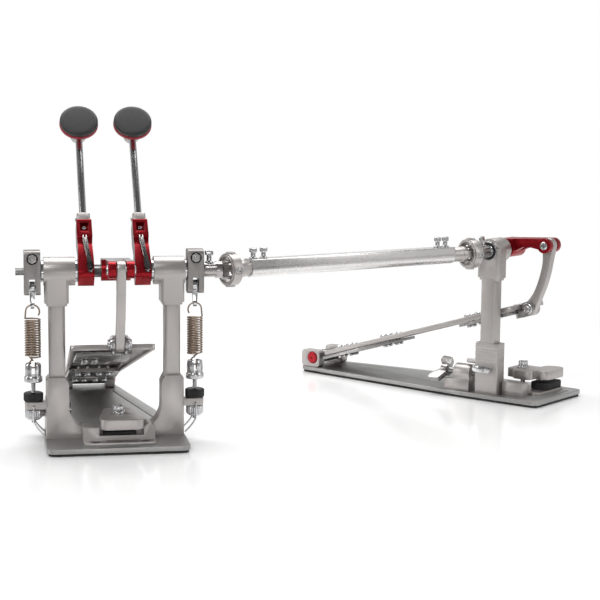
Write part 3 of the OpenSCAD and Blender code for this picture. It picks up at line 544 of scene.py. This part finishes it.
def ring_bearings():
    """Sealed bearings: a steel outer race, a black seal and an inner race that stands proud."""
    outs = []
    for side in SIDES:
        low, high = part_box(side + "_bearing_housing")
        outs += [(MAIN, low[0] / MM, -1), (MAIN, high[0] / MM, 1)]
    outs += [(SECOND, SECOND_HOUSING[0], -1), (SECOND, SECOND_HOUSING[1], 1)]
    races, seals = bmesh.new(), bmesh.new()
    for base, x, way in outs:
        m = turned(shifted(base, x, 0, AXLE_H), (way, 0, 0))
        outer = [(10.9, -1), (11.9, -1), (11.9, 2.2), (11.6, 2.6), (11.0, 2.6), (10.8, 2.3)]
        seal = [(7.0, -1), (11.0, -1), (11.0, 2.1), (10.0, 2.35), (8.0, 2.35), (7.0, 2.0)]
        inner = [(5.8, -1), (7.2, -1), (7.2, 2.4), (6.9, 2.6), (5.8, 2.6)]
        lathe(races, closed(outer), m, 64)
        lathe(seals, closed(seal), m, 64)
        lathe(races, closed(inner), m, 64)
    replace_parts(add(races, "bearing_races", "stand", "chrome"), "ball_bearings")
    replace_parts(add(seals, "bearing_seals", "stand", "black"), "ball_bearings")


ring_bearings()


# ---------------------------------------------------------------- return springs

def spring_set(side, s):
    """A return spring with its hooks: the lower one turned in, the upper one standing up."""
    x = middle(side + "_adjuster_nut", 0)
    base = shifted(MAIN, x, 0, 0)
    wire, coil_r, hook_r, pitch = 0.9, 8.1, 7.5, 2.75
    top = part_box("return_springs")[1][2] / MM - wire
    low, high = SPRING_LOW + wire, top - 2 * hook_r
    turns = round((high - low) / pitch)
    points = []
    # lower hook, caught in the cup's slot
    for i in range(9):
        a = math.radians(-60 - 210 * i / 8)
        points.append((4.2 * math.cos(a), 0, low - 7.2 + 4.2 * math.sin(a)))
    points.append((-1.2, 1.5, low - 2.4))
    per_turn = 22
    count = turns * per_turn
    for i in range(count + 1):
        a = 2 * math.pi * i / per_turn + math.pi * (0 if s > 0 else 1)
        r = coil_r * min(1.0, i / 14 + 0.35)
        points.append((r * math.cos(a), r * math.sin(a), low + (high - low) * i / count))
    # upper hook: up from the coil's side and over to its open end
    for i in range(1, 19):
        a = math.radians(8 + 205 * i / 18)
        points.append((s * hook_r * math.cos(a), 0, high + hook_r + hook_r * math.sin(a)))
    bm = bmesh.new()
    path = [base @ (Vector(p) * MM) for p in points]
    sweep(bm, path, wire, 10)
    spring = add(bm, side + "_return_spring", None, "spring", 60)
    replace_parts(spring, "return_springs")
    return spring, base @ Vector((0, 0, low * MM)), base @ Vector((0, 0, high * MM))


def screw_thread(low, high, radius, pitch=0.9, depth=0.32):
    """A threaded rod's profile, from its lower to its upper end."""
    profile = [(0, low), (radius - depth, low)]
    for i in range(int((high - low) / pitch)):
        h = low + i * pitch
        profile += [(radius - depth, h + 0.1 * pitch), (radius, h + 0.42 * pitch), (radius, h + 0.58 * pitch)]
    return profile + [(radius - depth, high), (0, high)]


def cup(side, s):
    """The slotted cup on its threaded rod, with the retaining wire."""
    x = middle(side + "_adjuster_nut", 0)
    base = shifted(MAIN, x, 0, 0)
    bm = bmesh.new()
    cup_profile = [(0, CUP_LOW), (9.4, CUP_LOW), (10, 69.8), (10, 74), (9.6, 75.3), (8.7, 75.8), (8.9, 83),
                   (8.7, 88), (7.6, CUP_HIGH), (5.4, CUP_HIGH), (5.2, 79), (0, 79)]
    lathe(bm, soften(cup_profile, 0.8, 3), base, 64)
    body = add(bm, side + "_spring_cup", "stand", "chrome", 40)
    slot = bmesh.new()
    slot_size = Matrix.Diagonal((0.0036, 0.03, 0.021, 1))
    bmesh.ops.create_cube(slot, size=1.0, matrix=shifted(base, 0, 0, 86.5) @ slot_size)
    cut_mesh(body, slot)
    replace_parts(body, "spring_rods")
    rod = bmesh.new()
    lathe(rod, screw_thread(24, 69.5, 2.5), base, 24)
    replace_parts(add(rod, side + "_threaded_rod", "stand", "chrome", 30), "spring_rods")
    wires = bmesh.new()
    foot_x = s * FRAME_SIDE - x
    for y in (-12, 12):
        path = smooth_path([(0, y * 0.64, 43), (0, y * 0.85, 43.2), (0, y, 40.5), (0, y, 32),
                            (-s * 0.4, y, 26), (foot_x * 0.45, y, 18), (foot_x, y, 11)], 8)
        sweep(wires, [base @ (p * MM) for p in path], 0.95, 12)
    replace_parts(add(wires, side + "_retaining_wire", "stand", "chrome", 60), "spring_rods")


def flutes(count, depth, inner):
    """Grooves cut round a turned piece wherever its radius is over the inner one."""
    def ripple(a, p):
        return 1.0 - depth * (0.5 + 0.5 * math.cos(count * a)) ** 3 if p[0] > inner else 1.0
    return ripple


def nuts(side):
    """The fluted adjuster nut under the lug and the black knurled lock nut on it."""
    base = shifted(MAIN, middle(side + "_adjuster_nut", 0), 0, 0)
    bm = bmesh.new()
    fluted = [(2.6, 39), (8.6, 39), (9.6, 38.2), (9.6, 30.2), (8.4, 29), (7, 29), (6.8, 27.5), (2.6, 27.5)]
    lathe(bm, soften(closed(fluted), 0.5, 3), base, 180, flutes(20, 0.07, 8.9))
    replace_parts(add(bm, side + "_fluted_nut", side + "_nut", "chrome", 30), side + "_adjuster_nut")
    bm = bmesh.new()
    knurled = [(2.6, 57.8), (8.8, 57.8), (10.7, 56.6), (10.7, 49), (9.2, 47.6), (2.6, 47.6)]
    lathe(bm, soften(closed(knurled), 0.5, 3), base, 216, flutes(36, 0.05, 9.6))
    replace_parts(add(bm, side + "_knurled_nut", "stand", "black", 30), "lock_nuts")


def cut_mesh(obj, cutter_bm):
    """Takes the cutter's volume away from the piece."""
    mesh = bpy.data.meshes.new("cutter")
    cutter_bm.to_mesh(mesh)
    cutter_bm.free()
    cutter = bpy.data.objects.new("cutter", mesh)
    bpy.context.scene.collection.objects.link(cutter)
    mod = obj.modifiers.new("cut", "BOOLEAN")
    mod.operation = "DIFFERENCE"
    mod.solver = "EXACT"
    mod.object = cutter
    apply_modifiers(obj)
    bpy.data.objects.remove(cutter)
    shade(obj, 40)


for side, s in SIDES.items():
    spring, start, end = spring_set(side, s)
    tuple(start)
    tuple(end)
    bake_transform(spring)
    cup(side, s)
    nuts(side)


# ---------------------------------------------------------------- beaters

def beater(side):
    """A beater: its domed rubber face, ring and core on a steel shaft with a collar and screw."""
    base = beater_frame(side)
    reach = (base.inverted() @ Vector(centre_of(side + "_beater_hub"))).z / MM
    body = side + "_beater"
    front = turned(shifted(base, 0, 0, reach), (0, -1, 0))
    r = head_radius(side)
    bm = bmesh.new()
    dome = [(0, 20.7)] + [(r * 0.8 * i / 8, 20.7 - 0.45 * (i / 8) ** 2) for i in range(1, 9)]
    edge = [(r - 3.6 + 3.2 * math.sin(math.radians(i * 11)), 16.9 + 3.2 * math.cos(math.radians(i * 11)))
            for i in range(1, 9)]
    lathe(bm, dome + edge + [(r - 0.6, 15.2), (r - 1.2, 14.2), (0, 14.2)], front, 96)
    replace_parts(add(bm, side + "_beater_face", body, "pad", 50), side + "_beater_pad")
    bm = bmesh.new()
    ring = [(0, 14.1), (r - 0.9, 14.1), (r - 0.1, 13.2), (r - 0.1, 10.4), (r - 1.4, 9.0), (r - 4, 8.2),
            (10, 8.0), (0, 8.0)]
    lathe(bm, soften(ring, 0.6, 3), front, 96)
    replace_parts(add(bm, side + "_beater_ring", body, "rim", 40), side + "_beater_rim")
    bm = bmesh.new()
    core = [(0, 8.2), (12.5, 8.2), (12.6, 6.6), (9.8, 5.2), (9.4, -3), (9.4, -10.6), (8.6, -12.4),
            (7.6, -14.6), (3.2, -14.8), (2.8, -13), (0, -12.8)]
    lathe(bm, soften(core, 0.9, 3), front, 72)
    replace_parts(add(bm, side + "_beater_core", body, "hub", 40), side + "_beater_hub")
    bm = bmesh.new()
    top = reach + 7.8
    rod = [(0, 28.2), (3.2, 28.2), (4.0, 29), (4.0, top - 1.0), (3.3, top), (0, top)]
    lathe(bm, soften(rod, 0.4, 3), base, 32)
    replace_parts(add(bm, side + "_beater_rod", body, "chrome", 40), side + "_beater_shaft")
    bm = bmesh.new()
    rounded_box(bm, shifted(base, 0, -0.2, 62.5), 7.4, 9.1, 10.8, 3.0, 1.6)
    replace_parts(add(bm, side + "_shaft_collar", body, "silver", 35), side + "_beater_shaft")
    bm = bmesh.new()
    screw = [(0, -1), (2.6, -1), (2.6, 1.4), (2.1, 1.9), (1.2, 1.9), (1.1, 0.7), (0, 0.7)]
    lathe(bm, soften(screw, 0.3, 2), turned(shifted(base, -7.2, -2.5, 68), (-1, 0, 0)), 32)
    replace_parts(add(bm, side + "_collar_screw", body, "chrome", 30), side + "_beater_shaft")


def head_radius(side):
    """Half the width of the beater's head, in mm, a little under the CAD ring's."""
    low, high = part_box(side + "_beater_rim")
    return (high[0] - low[0]) / 2 / MM - 1.0


def rounded_box(bm, matrix, half_x, half_y, height, corner, rim):
    """A block with rounded upright corners and softened top and bottom edges."""
    outline = []
    for cx, cy, a0 in ((half_x - corner, half_y - corner, 0), (corner - half_x, half_y - corner, 90),
                       (corner - half_x, corner - half_y, 180), (half_x - corner, corner - half_y, 270)):
        for i in range(7):
            a = math.radians(a0 + 15 * i)
            outline.append((cx + corner * math.cos(a), cy + corner * math.sin(a)))
    extrude(bm, outline, height, matrix, rim, 4)


for side in SIDES:
    beater(side)


# ---------------------------------------------------------------- bolts, nuts and screws

def polygon_nut(bm, matrix, flats, height, bore, across=6, rim=0.5):
    """A nut or bolt head: a prism with softened edges and a sunk round socket or bore."""
    outline = []
    big = flats / 2 / math.cos(math.pi / across)
    for i in range(across):
        a = 2 * math.pi * (i + 0.5) / across
        outline.append((big * math.cos(a), big * math.sin(a)))
    extrude(bm, round_corners(outline, 0.7), height, matrix, rim, 3)
    lathe(bm, soften([(bore + 0.7, height - 0.2), (bore + 0.7, height + 0.25), (bore, height + 0.25),
                      (bore - 0.5, height - 0.1), (bore - 0.6, height - 0.4)], 0.15, 2), matrix, 24)


def round_corners(outline, r, steps=3):
    """The outline with each corner swept round over the distance r."""
    out = []
    count = len(outline)
    for i in range(count):
        a, p, b = (Vector(outline[(i + k) % count]) for k in (-1, 0, 1))
        u, v = (a - p).normalized(), (b - p).normalized()
        for k in range(steps + 1):
            t = k / steps
            out.append((p + u * r) * (1 - t) ** 2 + p * 2 * t * (1 - t) + (p + v * r) * t ** 2)
    return out


def socket_screw(bm, matrix, radius, height, socket):
    """A round screw head with a sunk round socket, seen from its +Z end."""
    lathe(bm, soften([(radius, 0), (radius, height * 0.7), (radius * 0.86, height), (socket * 1.1, height),
                      (socket, height * 0.9), (socket * 0.95, height * 0.35), (0, height * 0.35)], 0.25, 3),
          matrix, 48)


def key_bolt(bm, matrix, height):
    """A key-headed bolt standing on its flat top: a washer, a neck and a flat two-lobed head."""
    lathe(bm, soften([(0, 0), (4.4, 0), (4.6, 0.5), (4.6, 1.3), (3.4, 1.7), (2.7, 2.6), (2.7, height - 5.6),
                      (3.3, height - 5.2), (3.3, height - 4.4), (0, height - 4.4)], 0.35, 3), matrix, 40)
    rounded_box(bm, shifted(matrix, 0, 0, height - 5.0), 4.7, 2.3, 5.0, 1.9, 0.9)
    tip = [(0, height - 0.3), (1.5, height - 0.3), (1.5, height + 0.2), (0, height + 0.2)]
    lathe(bm, soften(tip, 0.2, 2), matrix, 20)


def axle_fasteners(node, side, body):
    """The screw and pin of a rocker, and the key bolt and window screw of its beater holder."""
    bm = bmesh.new()
    at = shifted(MAIN, middle(side + "_rocker", 0), 0, AXLE_H)
    face = turned(shifted(at, 0, ROCKER_FRONT, ROCKER_SCREW_Z), (0, -1, 0))
    polygon_nut(bm, face, 9.0, 3.6, 2.6)
    lathe(bm, soften([(0, -0.4), (1.9, -0.4), (1.9, 0.9), (1.2, 1.3), (0, 1.3)], 0.2, 2),
          shifted(face, 0, 0, 3.2), 24)
    for way in (-1, 1):
        lathe(bm, soften([(1.9, -9), (1.9, 0.0), (1.5, 0.35), (0, 0.35)], 0.2, 2),
              turned(shifted(at, way * 8.7, 0, ROCKER_PIN_Z), (way, 0, 0)), 24)
    base = beater_frame(side)
    blade = [(-2.6, 30.5), (-1.4, 34), (1.4, 34.6), (2.9, 31), (3.6, 22), (6.3, -5), (5.9, -8.2), (4.4, -9.4),
             (2.9, -8.4), (2.2, -4)]
    tilted = shifted(base, 0, -12.9, 0) @ Matrix.Rotation(math.pi / 2, 4, "X")
    extrude(bm, round_corners(blade, 1.1), 3.5, tilted, 1.1, 3)
    for px in (-2.0, 2.0):
        path = smooth_path([(px, -13.9, 31), (px * 0.9, -13.8, 35), (px * 0.8, -12.9, 38.5)], 5)
        sweep(bm, [base @ (Vector(p) * MM) for p in path], 0.75, 10)
    socket_screw(bm, turned(shifted(base, 0, -8.4, 51), (0, -1, 0)), 2.3, 1.8, 1.2)
    lathe(bm, soften([(2.3, -6), (2.3, 8)], 0.2, 2), turned(shifted(base, 0, -8.5, 31), (0, -1, 0)), 24)
    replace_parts(add(bm, side + "_fasteners", body, "chrome", 35, "satin"), node)
    # a thin black ring round the rocker's nut: painted shade standing for the dark recess the nut sits in
    recess_shade = bmesh.new()
    lathe(recess_shade, closed([(4.6, 0.0), (6.15, 0.0), (6.15, 0.5), (4.6, 0.3)]), face, 32)
    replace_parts(add(recess_shade, side + "_recess_shade_ring", body, "black", 35), node)


axle_fasteners("main_axle_fasteners", "left", "main_axle_group")
axle_fasteners("transfer_axle_fasteners", "right", "transfer_axle_group")


def link_pin(base, x, body, name):
    """The pin of a link's upper eye, with a domed cap at each end."""
    bm = bmesh.new()
    at = shifted(base, x, LINK_TOP.x, LINK_TOP.y)
    half_pin = [(0, -5), (3, -5), (3, 13.7), (5.2, 13.7), (5.4, 14.4), (4.2, 15.6), (0, 15.9)]
    for way in (-1, 1):
        lathe(bm, soften(half_pin, 0.4, 3), turned(at, (way, 0, 0)), 40)
    return add(bm, name, body, "chrome", 35)


for pedal, base in PEDALS.items():
    link_pin(base, LINK_X[pedal], pedal + "_axle_group", pedal + "_link_pin")


# an outline's X, Y and depth laid along the frame's Y, Z and X
ALONG_X = Matrix(((0, 0, 1), (1, 0, 0), (0, 1, 0))).to_4x4()


def link(pedal, base, x):
    """The curved link: a band that swells smoothly into its two round eyes."""
    chord = LINK_TOP - LINK_LOW
    away = Vector((-chord.y, chord.x)).normalized()
    radius = (chord.length_squared / 4 + LINK_SAG * LINK_SAG) / (2 * LINK_SAG)
    centre = (LINK_LOW + LINK_TOP) / 2 - away * (radius - LINK_SAG)
    half = math.asin(chord.length / 2 / radius)
    lean = math.atan2(away.y, away.x)
    sides = {1: [], -1: []}
    for i in range(41):
        t = i / 40
        out = Vector((math.cos(lean + half * (1 - 2 * t)), math.sin(lean + half * (1 - 2 * t))))
        swell = max(0.0, abs(2 * t - 1) * 1.6 - 0.6) ** 2
        for way in sides:
            width = LINK_HALF + (LINK_EYE - LINK_HALF) * swell
            sides[way].append(centre + out * (radius + 0.6 * (1 - swell) + way * width))
    outline = []
    for along, back in ((sides[1], sides[-1]), (sides[-1][::-1], sides[1][::-1])):
        outline += along
        hub = (along[-1] + back[-1]) / 2
        start = math.atan2((along[-1] - hub).y, (along[-1] - hub).x)
        for i in range(1, 16):
            a = start - math.pi * i / 16
            outline.append(hub + Vector((math.cos(a), math.sin(a))) * LINK_EYE)
    bm = bmesh.new()
    m = shifted(base, x - LINK_THICK / 2, 0, 0) @ ALONG_X
    extrude(bm, outline, LINK_THICK, m, 1.3, 3)
    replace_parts(add(bm, pedal + "_curved_link", bodies_of[pedal + "_link"], "silver", 35), pedal + "_link")


for pedal, base in PEDALS.items():
    link(pedal, base, LINK_X[pedal])


def post_bars():
    """The square posts: broad corners on the main pedal's, tight ones on the second pedal's."""
    bm = bmesh.new()
    low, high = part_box("posts")
    foot, height = low[2] / MM, (high[2] - low[2]) / MM
    for x in (-POST_X, POST_X):
        rounded_box(bm, shifted(MAIN, x, 0, foot), 9.0, 9.0, height, 3.6, 0.4)
    rounded_box(bm, shifted(SECOND, 0, 0, foot), 8.4, 10.3, height, 2.0, 0.4)
    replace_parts(add(bm, "post_bars", "stand", "silver", 35), "posts")


post_bars()


def shaft_bolts():
    """The key bolts on the shaft and the couplers, and the pivot screws of the joints' rings."""
    bm = bmesh.new()
    for x in (TUBE_START + 6, TUBE_START + 20, SHAFT_LEN - TUBE_END - 21, SHAFT_LEN - TUBE_END - 9):
        key_bolt(bm, shifted(SHAFT, x, 0, TUBE_TOP), 12.3)
    for x in (0, SHAFT_LEN):
        for k in range(4):
            m = shifted(SHAFT, x, 0, 0) @ Matrix.Rotation(math.pi / 2 * k, 4, "X")
            socket_screw(bm, shifted(m, 0, 0, 17.4), 3.5, 1.6, 1.7)
    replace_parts(add(bm, "shaft_bolts", "drive_shaft", "chrome", 35), "shaft_key_bolts")
    bm = bmesh.new()
    key_bolt(bm, shifted(MAIN, COUPLER_BOLT_X, 0, AXLE_H + KEY_SEAT), 13.6)
    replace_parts(add(bm, "coupler_key_bolt", "transfer_axle_group", "chrome", 35), "transfer_axle_fasteners")
    bm = bmesh.new()
    key_bolt(bm, shifted(SECOND, SECOND_BOLT_X, 0, AXLE_H + KEY_SEAT), 11.6)
    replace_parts(add(bm, "second_key_bolt", "second_axle_group", "chrome", 35), "second_axle")


shaft_bolts()


def shaft_tube():
    """The extruded tube: a box-shaped upper half on a round lower half, with a groove between them."""
    half, corner, step, radius, low = 9.4, 1.6, 1.6, 9.6, -0.6
    outline = []
    for centre_y, first in ((half - corner, 0), (corner - half, 90)):
        for i in range(5):
            a = math.radians(first + 22.5 * i)
            outline.append((centre_y + corner * math.cos(a), TUBE_TOP - corner + corner * math.sin(a)))
    outline += [(-half, step + 0.5), (-half + 0.9, step + 0.1), (-half + 0.9, step - 0.7)]
    start = math.degrees(math.asin((step - 1.1 - low) / radius))
    for i in range(25):
        a = math.radians(180 - start + (180 + 2 * start) * i / 24)
        outline.append((radius * math.cos(a), low + radius * math.sin(a)))
    outline += [(half - 0.9, step - 0.7), (half - 0.9, step + 0.1), (half, step + 0.5)]
    bm = bmesh.new()
    length = SHAFT_LEN - TUBE_START - TUBE_END
    extrude(bm, outline, length, shifted(SHAFT, TUBE_START, 0, 0) @ ALONG_X, 0.35, 2)
    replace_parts(add(bm, "drive_shaft_profile", "drive_shaft", "chrome", 28, "tube"), "drive_shaft_tube")


shaft_tube()


def cut_axle(node, base, cut_x):
    """The axle's mesh on each side of cut_x (mm along the frame's X): the low side first."""
    at = base @ Vector((cut_x * MM, 0, 0))
    for side in (1, -1):
        bm = bmesh.new()
        bm.from_mesh(nodes[node].data)
        bmesh.ops.remove_doubles(bm, verts=bm.verts, dist=1e-6)
        normal = base.to_3x3() @ Vector((side, 0, 0))
        geom = bm.verts[:] + bm.edges[:] + bm.faces[:]
        cut = bmesh.ops.bisect_plane(bm, geom=geom, plane_co=at, plane_no=normal, clear_outer=True)
        edges = [e for e in cut["geom_cut"] if isinstance(e, bmesh.types.BMEdge)]
        bmesh.ops.holes_fill(bm, edges=edges)
        bmesh.ops.dissolve_limit(bm, angle_limit=math.radians(0.6), verts=bm.verts, edges=bm.edges,
                                 delimit={"NORMAL"})
        yield bm


# the hexagonal part of each axle is dark, its coupler and fork are bright
for node, base, cut_x, low_part, high_part in (
        ("transfer_axle", MAIN, COUPLER_END_X, "hexagon", "coupler"),
        ("second_axle", SECOND, SECOND_COUPLER_END_X, "coupler", "hexagon")):
    for part, bm in zip((low_part, high_part), cut_axle(node, base, cut_x)):
        name = node.replace("axle", part)
        finish = "coupler" if part == "coupler" else "dark_steel"
        obj = add(bm, name, bodies_of[node], "dark_steel", 30, finish)
        bevel_piece(obj, SMALL, 2)
        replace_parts(obj, node)


def board_bolts(pedal, base):
    """The domed bolts and nuts that hold a footboard's brackets, and the bolt of the link's lower eye."""
    board = board_frame(pedal, base)
    bm = bmesh.new()
    dome = [(0, -7), (2, -7), (2, 4), (4.6, 5), (4.7, 5.5), (4.4, 6.9), (3.2, 8.3), (1.6, 8.7), (0, 8.75)]
    for columns, rows in BOLT_ROWS:
        for x in columns:
            for u in rows:
                at = shifted(board, FIRST_BOLT[pedal] + x, -u, 0)
                lathe(bm, soften(dome, 0.4, 3), at, 32)
                polygon_nut(bm, turned(shifted(at, 0, 0, -6), (0, 0, -1)), 6.8, 3.0, 1.9)
    eye = shifted(base, LINK_X[pedal], LINK_LOW.x, LINK_LOW.y)
    half_bolt = [(0, 0), (2.9, 0), (2.9, 8.4), (7.6, 8.4), (7.8, 9.0), (7.6, 10.2), (6.4, 10.8), (0, 10.8)]
    for way in (-1, 1):
        m = turned(eye, (way, 0, 0))
        lathe(bm, soften(half_bolt, 0.4, 3), m, 40)
        polygon_nut(bm, shifted(m, 0, 0, 10.5), 8.8, 2.6, 2.2, rim=0.6)
    bolts = add(bm, pedal + "_bolts_and_nuts", pedal + "_pedal", "chrome", 35)
    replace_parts(bolts, pedal + "_board_bolts")


for pedal, base in PEDALS.items():
    board_bolts(pedal, base)


def hinge_caps():
    """The red caps on the heel hinges and the pins between them."""
    reds, screws = bmesh.new(), bmesh.new()
    cap = [(0, -2), (8.1, -2), (8.1, 0.2), (7.2, 1.1), (1.6, 1.15), (1.2, 0.5), (0, 0.5)]
    for pedal, base in PEDALS.items():
        span = HEEL_SPAN[pedal]
        for x, way in ((span[0], -1), (span[1], 1)):
            lathe(reds, soften(cap, 0.4, 3), turned(shifted(base, x, HINGE_Y, HINGE_Z), (way, 0, 0)), 48)
        m = turned(shifted(base, 0, HINGE_Y, HINGE_Z), (1, 0, 0))
        lathe(screws, [(0, span[0]), (3.9, span[0]), (3.9, span[1]), (0, span[1])], m, 32)
    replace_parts(add(reds, "hinge_caps", "stand", "red", 35, "cap"), "hinge_pins")
    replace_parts(add(screws, "hinge_pin_screws", "stand", "chrome", 35), "hinge_pins")


hinge_caps()


def clamp_bolt(name, node, body, base, x, y, jaw_top):
    """A fluted collar with a square key head, its shank down in the base."""
    bm = bmesh.new()
    m = shifted(base, x, y, 0)
    foot = 8.2
    shank = [(0, foot), (3, foot), (3, jaw_top), (7.6, jaw_top), (7.7, jaw_top + 0.5), (7.5, jaw_top + 2),
             (6.2, jaw_top + 2.6), (0, jaw_top + 2.6)]
    head = [(0, jaw_top + 2), (6.2, jaw_top + 2), (6.4, jaw_top + 3), (6.4, jaw_top + 7.6),
            (5.6, jaw_top + 8.8), (2.6, jaw_top + 9), (2.4, jaw_top + 7.8), (0, jaw_top + 7.8)]
    lathe(bm, soften(shank, 0.4, 3), m, 48)
    lathe(bm, soften(head, 0.6, 3), m, 96, flutes(6, 0.16, 5))
    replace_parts(add(bm, name, body, "chrome", 30), node)


JAW_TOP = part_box("hoop_clamp_jaw")[1][2] / MM
clamp_bolt("hoop_key_bolt", "hoop_clamp_bolt", "hoop_bolt", MAIN, 2, -20, JAW_TOP)
clamp_bolt("second_key_head", "second_clamp_bolt", "second_bolt", SECOND, 55, -17, JAW_TOP)


def toe_bars():
    """A bright rounded lip along the front edge of each tread, left open where the link passes."""
    radius, along, over, gap = 2.4, -319.6, 2.3, 12.0
    for pedal, base in PEDALS.items():
        span, link_x = TOE_SPAN[pedal], LINK_X[pedal]
        board = board_frame(pedal, base)
        bm = bmesh.new()
        for start, end in ((span[0] + 3, link_x - gap), (link_x + gap, span[1] - 3)):
            tip = [(radius * math.sin(math.radians(15 * i)), -radius * math.cos(math.radians(15 * i)))
                   for i in range(1, 7)]
            length = end - start
            far_tip = [(r, length - h) for r, h in reversed(tip)]
            profile = [(0, -radius)] + tip + far_tip + [(0, length + radius)]
            lathe(bm, profile, turned(shifted(board, start, along, over), (1, 0, 0)), 32)
        add(bm, pedal + "_toe_bar", pedal + "_pedal", "chrome", 40, "tube")


toe_bars()


# ---------------------------------------------------------------- floor, light and camera

def disc(name, radius, z):
    bm = bmesh.new()
    bmesh.ops.create_circle(bm, cap_ends=True, segments=96, radius=radius)
    mesh = bpy.data.meshes.new(name)
    bm.to_mesh(mesh)
    bm.free()
    obj = bpy.data.objects.new(name, mesh)
    obj.location = (0.25, 0.15, z)
    bpy.context.scene.collection.objects.link(obj)
    return obj


# the floor fades out at its rim, so that it meets the white backdrop without an edge
FLOOR_R, FADE_FROM = 1.15, 0.42
floor = disc("floor", FLOOR_R, 0.0)
floor_mat, tree, shader, coords = node_tree("studio_floor")
shader.inputs["Base Color"].default_value = (0.93, 0.93, 0.93, 1)
tree.links.new(spread(tree, noise(tree, coords, 6.0), 0.10, 0.14), shader.inputs["Roughness"])
shader.inputs["Specular IOR Level"].default_value = 0.28
length = tree.nodes.new("ShaderNodeVectorMath")
length.operation = "LENGTH"
tree.links.new(coords, length.inputs[0])
clear = tree.nodes.new("ShaderNodeBsdfTransparent")
blend_out = tree.nodes.new("ShaderNodeMixShader")
fade = spread(tree, length.outputs["Value"], 0.0, 1.0, FADE_FROM, FLOOR_R * 0.98)
tree.links.new(fade, blend_out.inputs["Fac"])
tree.links.new(shader.outputs["BSDF"], blend_out.inputs[1])
tree.links.new(clear.outputs["BSDF"], blend_out.inputs[2])
tree.links.new(blend_out.outputs["Shader"], tree.nodes["Material Output"].inputs["Surface"])
floor.data.materials.append(floor_mat)


def area(name, at, to, size, power, size_y=None):
    light = bpy.data.lights.new(name, "AREA")
    light.energy = power
    light.shape = "RECTANGLE"
    light.size = size
    light.size_y = size_y or size
    obj = bpy.data.objects.new(name, light)
    obj.location = at
    obj.rotation_mode = "QUATERNION"
    obj.rotation_quaternion = (Vector(to) - Vector(at)).to_track_quat("-Z", "Y")
    bpy.context.scene.collection.objects.link(obj)


area("key", (-1.0, -1.5, 1.9), (0.2, 0.1, 0.1), 0.9, 22.0)
area("fill", (1.9, -1.0, 1.1), (0.3, 0.1, 0.1), 0.8, 10.0, 1.6)
area("side", (-2.2, 0.4, 0.9), (0.1, 0.1, 0.1), 0.7, 12.0, 1.6)
area("top", (0.3, 1.25, 2.7), (0.3, 0.15, 0.0), 3.4, 105.0, 2.3)
area("low", (0.1, -1.3, 0.10), (0.05, 0.1, 0.14), 0.5, 0.7, 0.12)


def studio_world():
    """White to the camera; reflections see a bright horizon behind, dark bands at the sides and overhead."""
    world = bpy.data.worlds.new("studio")
    bpy.context.scene.world = world
    world.use_nodes = True
    tree = world.node_tree
    background = tree.nodes["Background"]
    coords = tree.nodes.new("ShaderNodeTexCoord").outputs["Generated"]
    split = tree.nodes.new("ShaderNodeSeparateXYZ")
    tree.links.new(coords, split.inputs["Vector"])
    height = spread(tree, split.outputs["Z"], 1.0, 0.28, 0.12, 0.75)
    behind = spread(tree, split.outputs["Y"], 0.52, 0.95, -0.7, 0.5)
    bands = tree.nodes.new("ShaderNodeMath")
    bands.operation = "MULTIPLY_ADD"
    wave = tree.nodes.new("ShaderNodeMath")
    wave.operation = "SINE"
    scaled = tree.nodes.new("ShaderNodeMath")
    scaled.operation = "MULTIPLY"
    scaled.inputs[1].default_value = 9.0
    tree.links.new(split.outputs["X"], scaled.inputs[0])
    tree.links.new(scaled.outputs["Value"], wave.inputs[0])
    tree.links.new(wave.outputs["Value"], bands.inputs[0])
    bands.inputs[1].default_value = 0.30
    bands.inputs[2].default_value = 0.68
    first = tree.nodes.new("ShaderNodeMath")
    first.operation = "MULTIPLY"
    tree.links.new(height, first.inputs[0])
    tree.links.new(behind, first.inputs[1])
    total = tree.nodes.new("ShaderNodeMath")
    total.operation = "MULTIPLY"
    tree.links.new(first.outputs["Value"], total.inputs[0])
    tree.links.new(bands.outputs["Value"], total.inputs[1])
    tree.links.new(total.outputs["Value"], background.inputs["Strength"])
    white = tree.nodes.new("ShaderNodeBackground")
    white.inputs["Color"].default_value = (1.0, 1.0, 1.0, 1.0)
    path = tree.nodes.new("ShaderNodeLightPath")
    chosen = tree.nodes.new("ShaderNodeMixShader")
    tree.links.new(path.outputs["Is Camera Ray"], chosen.inputs["Fac"])
    tree.links.new(background.outputs["Background"], chosen.inputs[1])
    tree.links.new(white.outputs["Background"], chosen.inputs[2])
    tree.links.new(chosen.outputs["Shader"], tree.nodes["World Output"].inputs["Surface"])
    background.inputs["Color"].default_value = (1.0, 1.0, 1.0, 1.0)


studio_world()

yaw, pitch, roll = math.radians(10.9), math.radians(7.44), math.radians(0.58)
cam_data = bpy.data.cameras.new("camera")
cam_data.lens = 95.5
cam_data.sensor_width = 36.0
camera = bpy.data.objects.new("camera", cam_data)
camera.location = (-0.12697, -1.73325, 0.38515)
camera.rotation_mode = "XYZ"
turn = Matrix.Rotation(-yaw, 4, "Z") @ Matrix.Rotation(math.pi / 2 - pitch, 4, "X")
camera.rotation_euler = (turn @ Matrix.Rotation(roll, 4, "Z")).to_euler("XYZ")
cam_data.clip_start = 0.05
bpy.context.scene.collection.objects.link(camera)
bpy.context.scene.camera = camera

bpy.context.scene.view_settings.view_transform = "Standard"
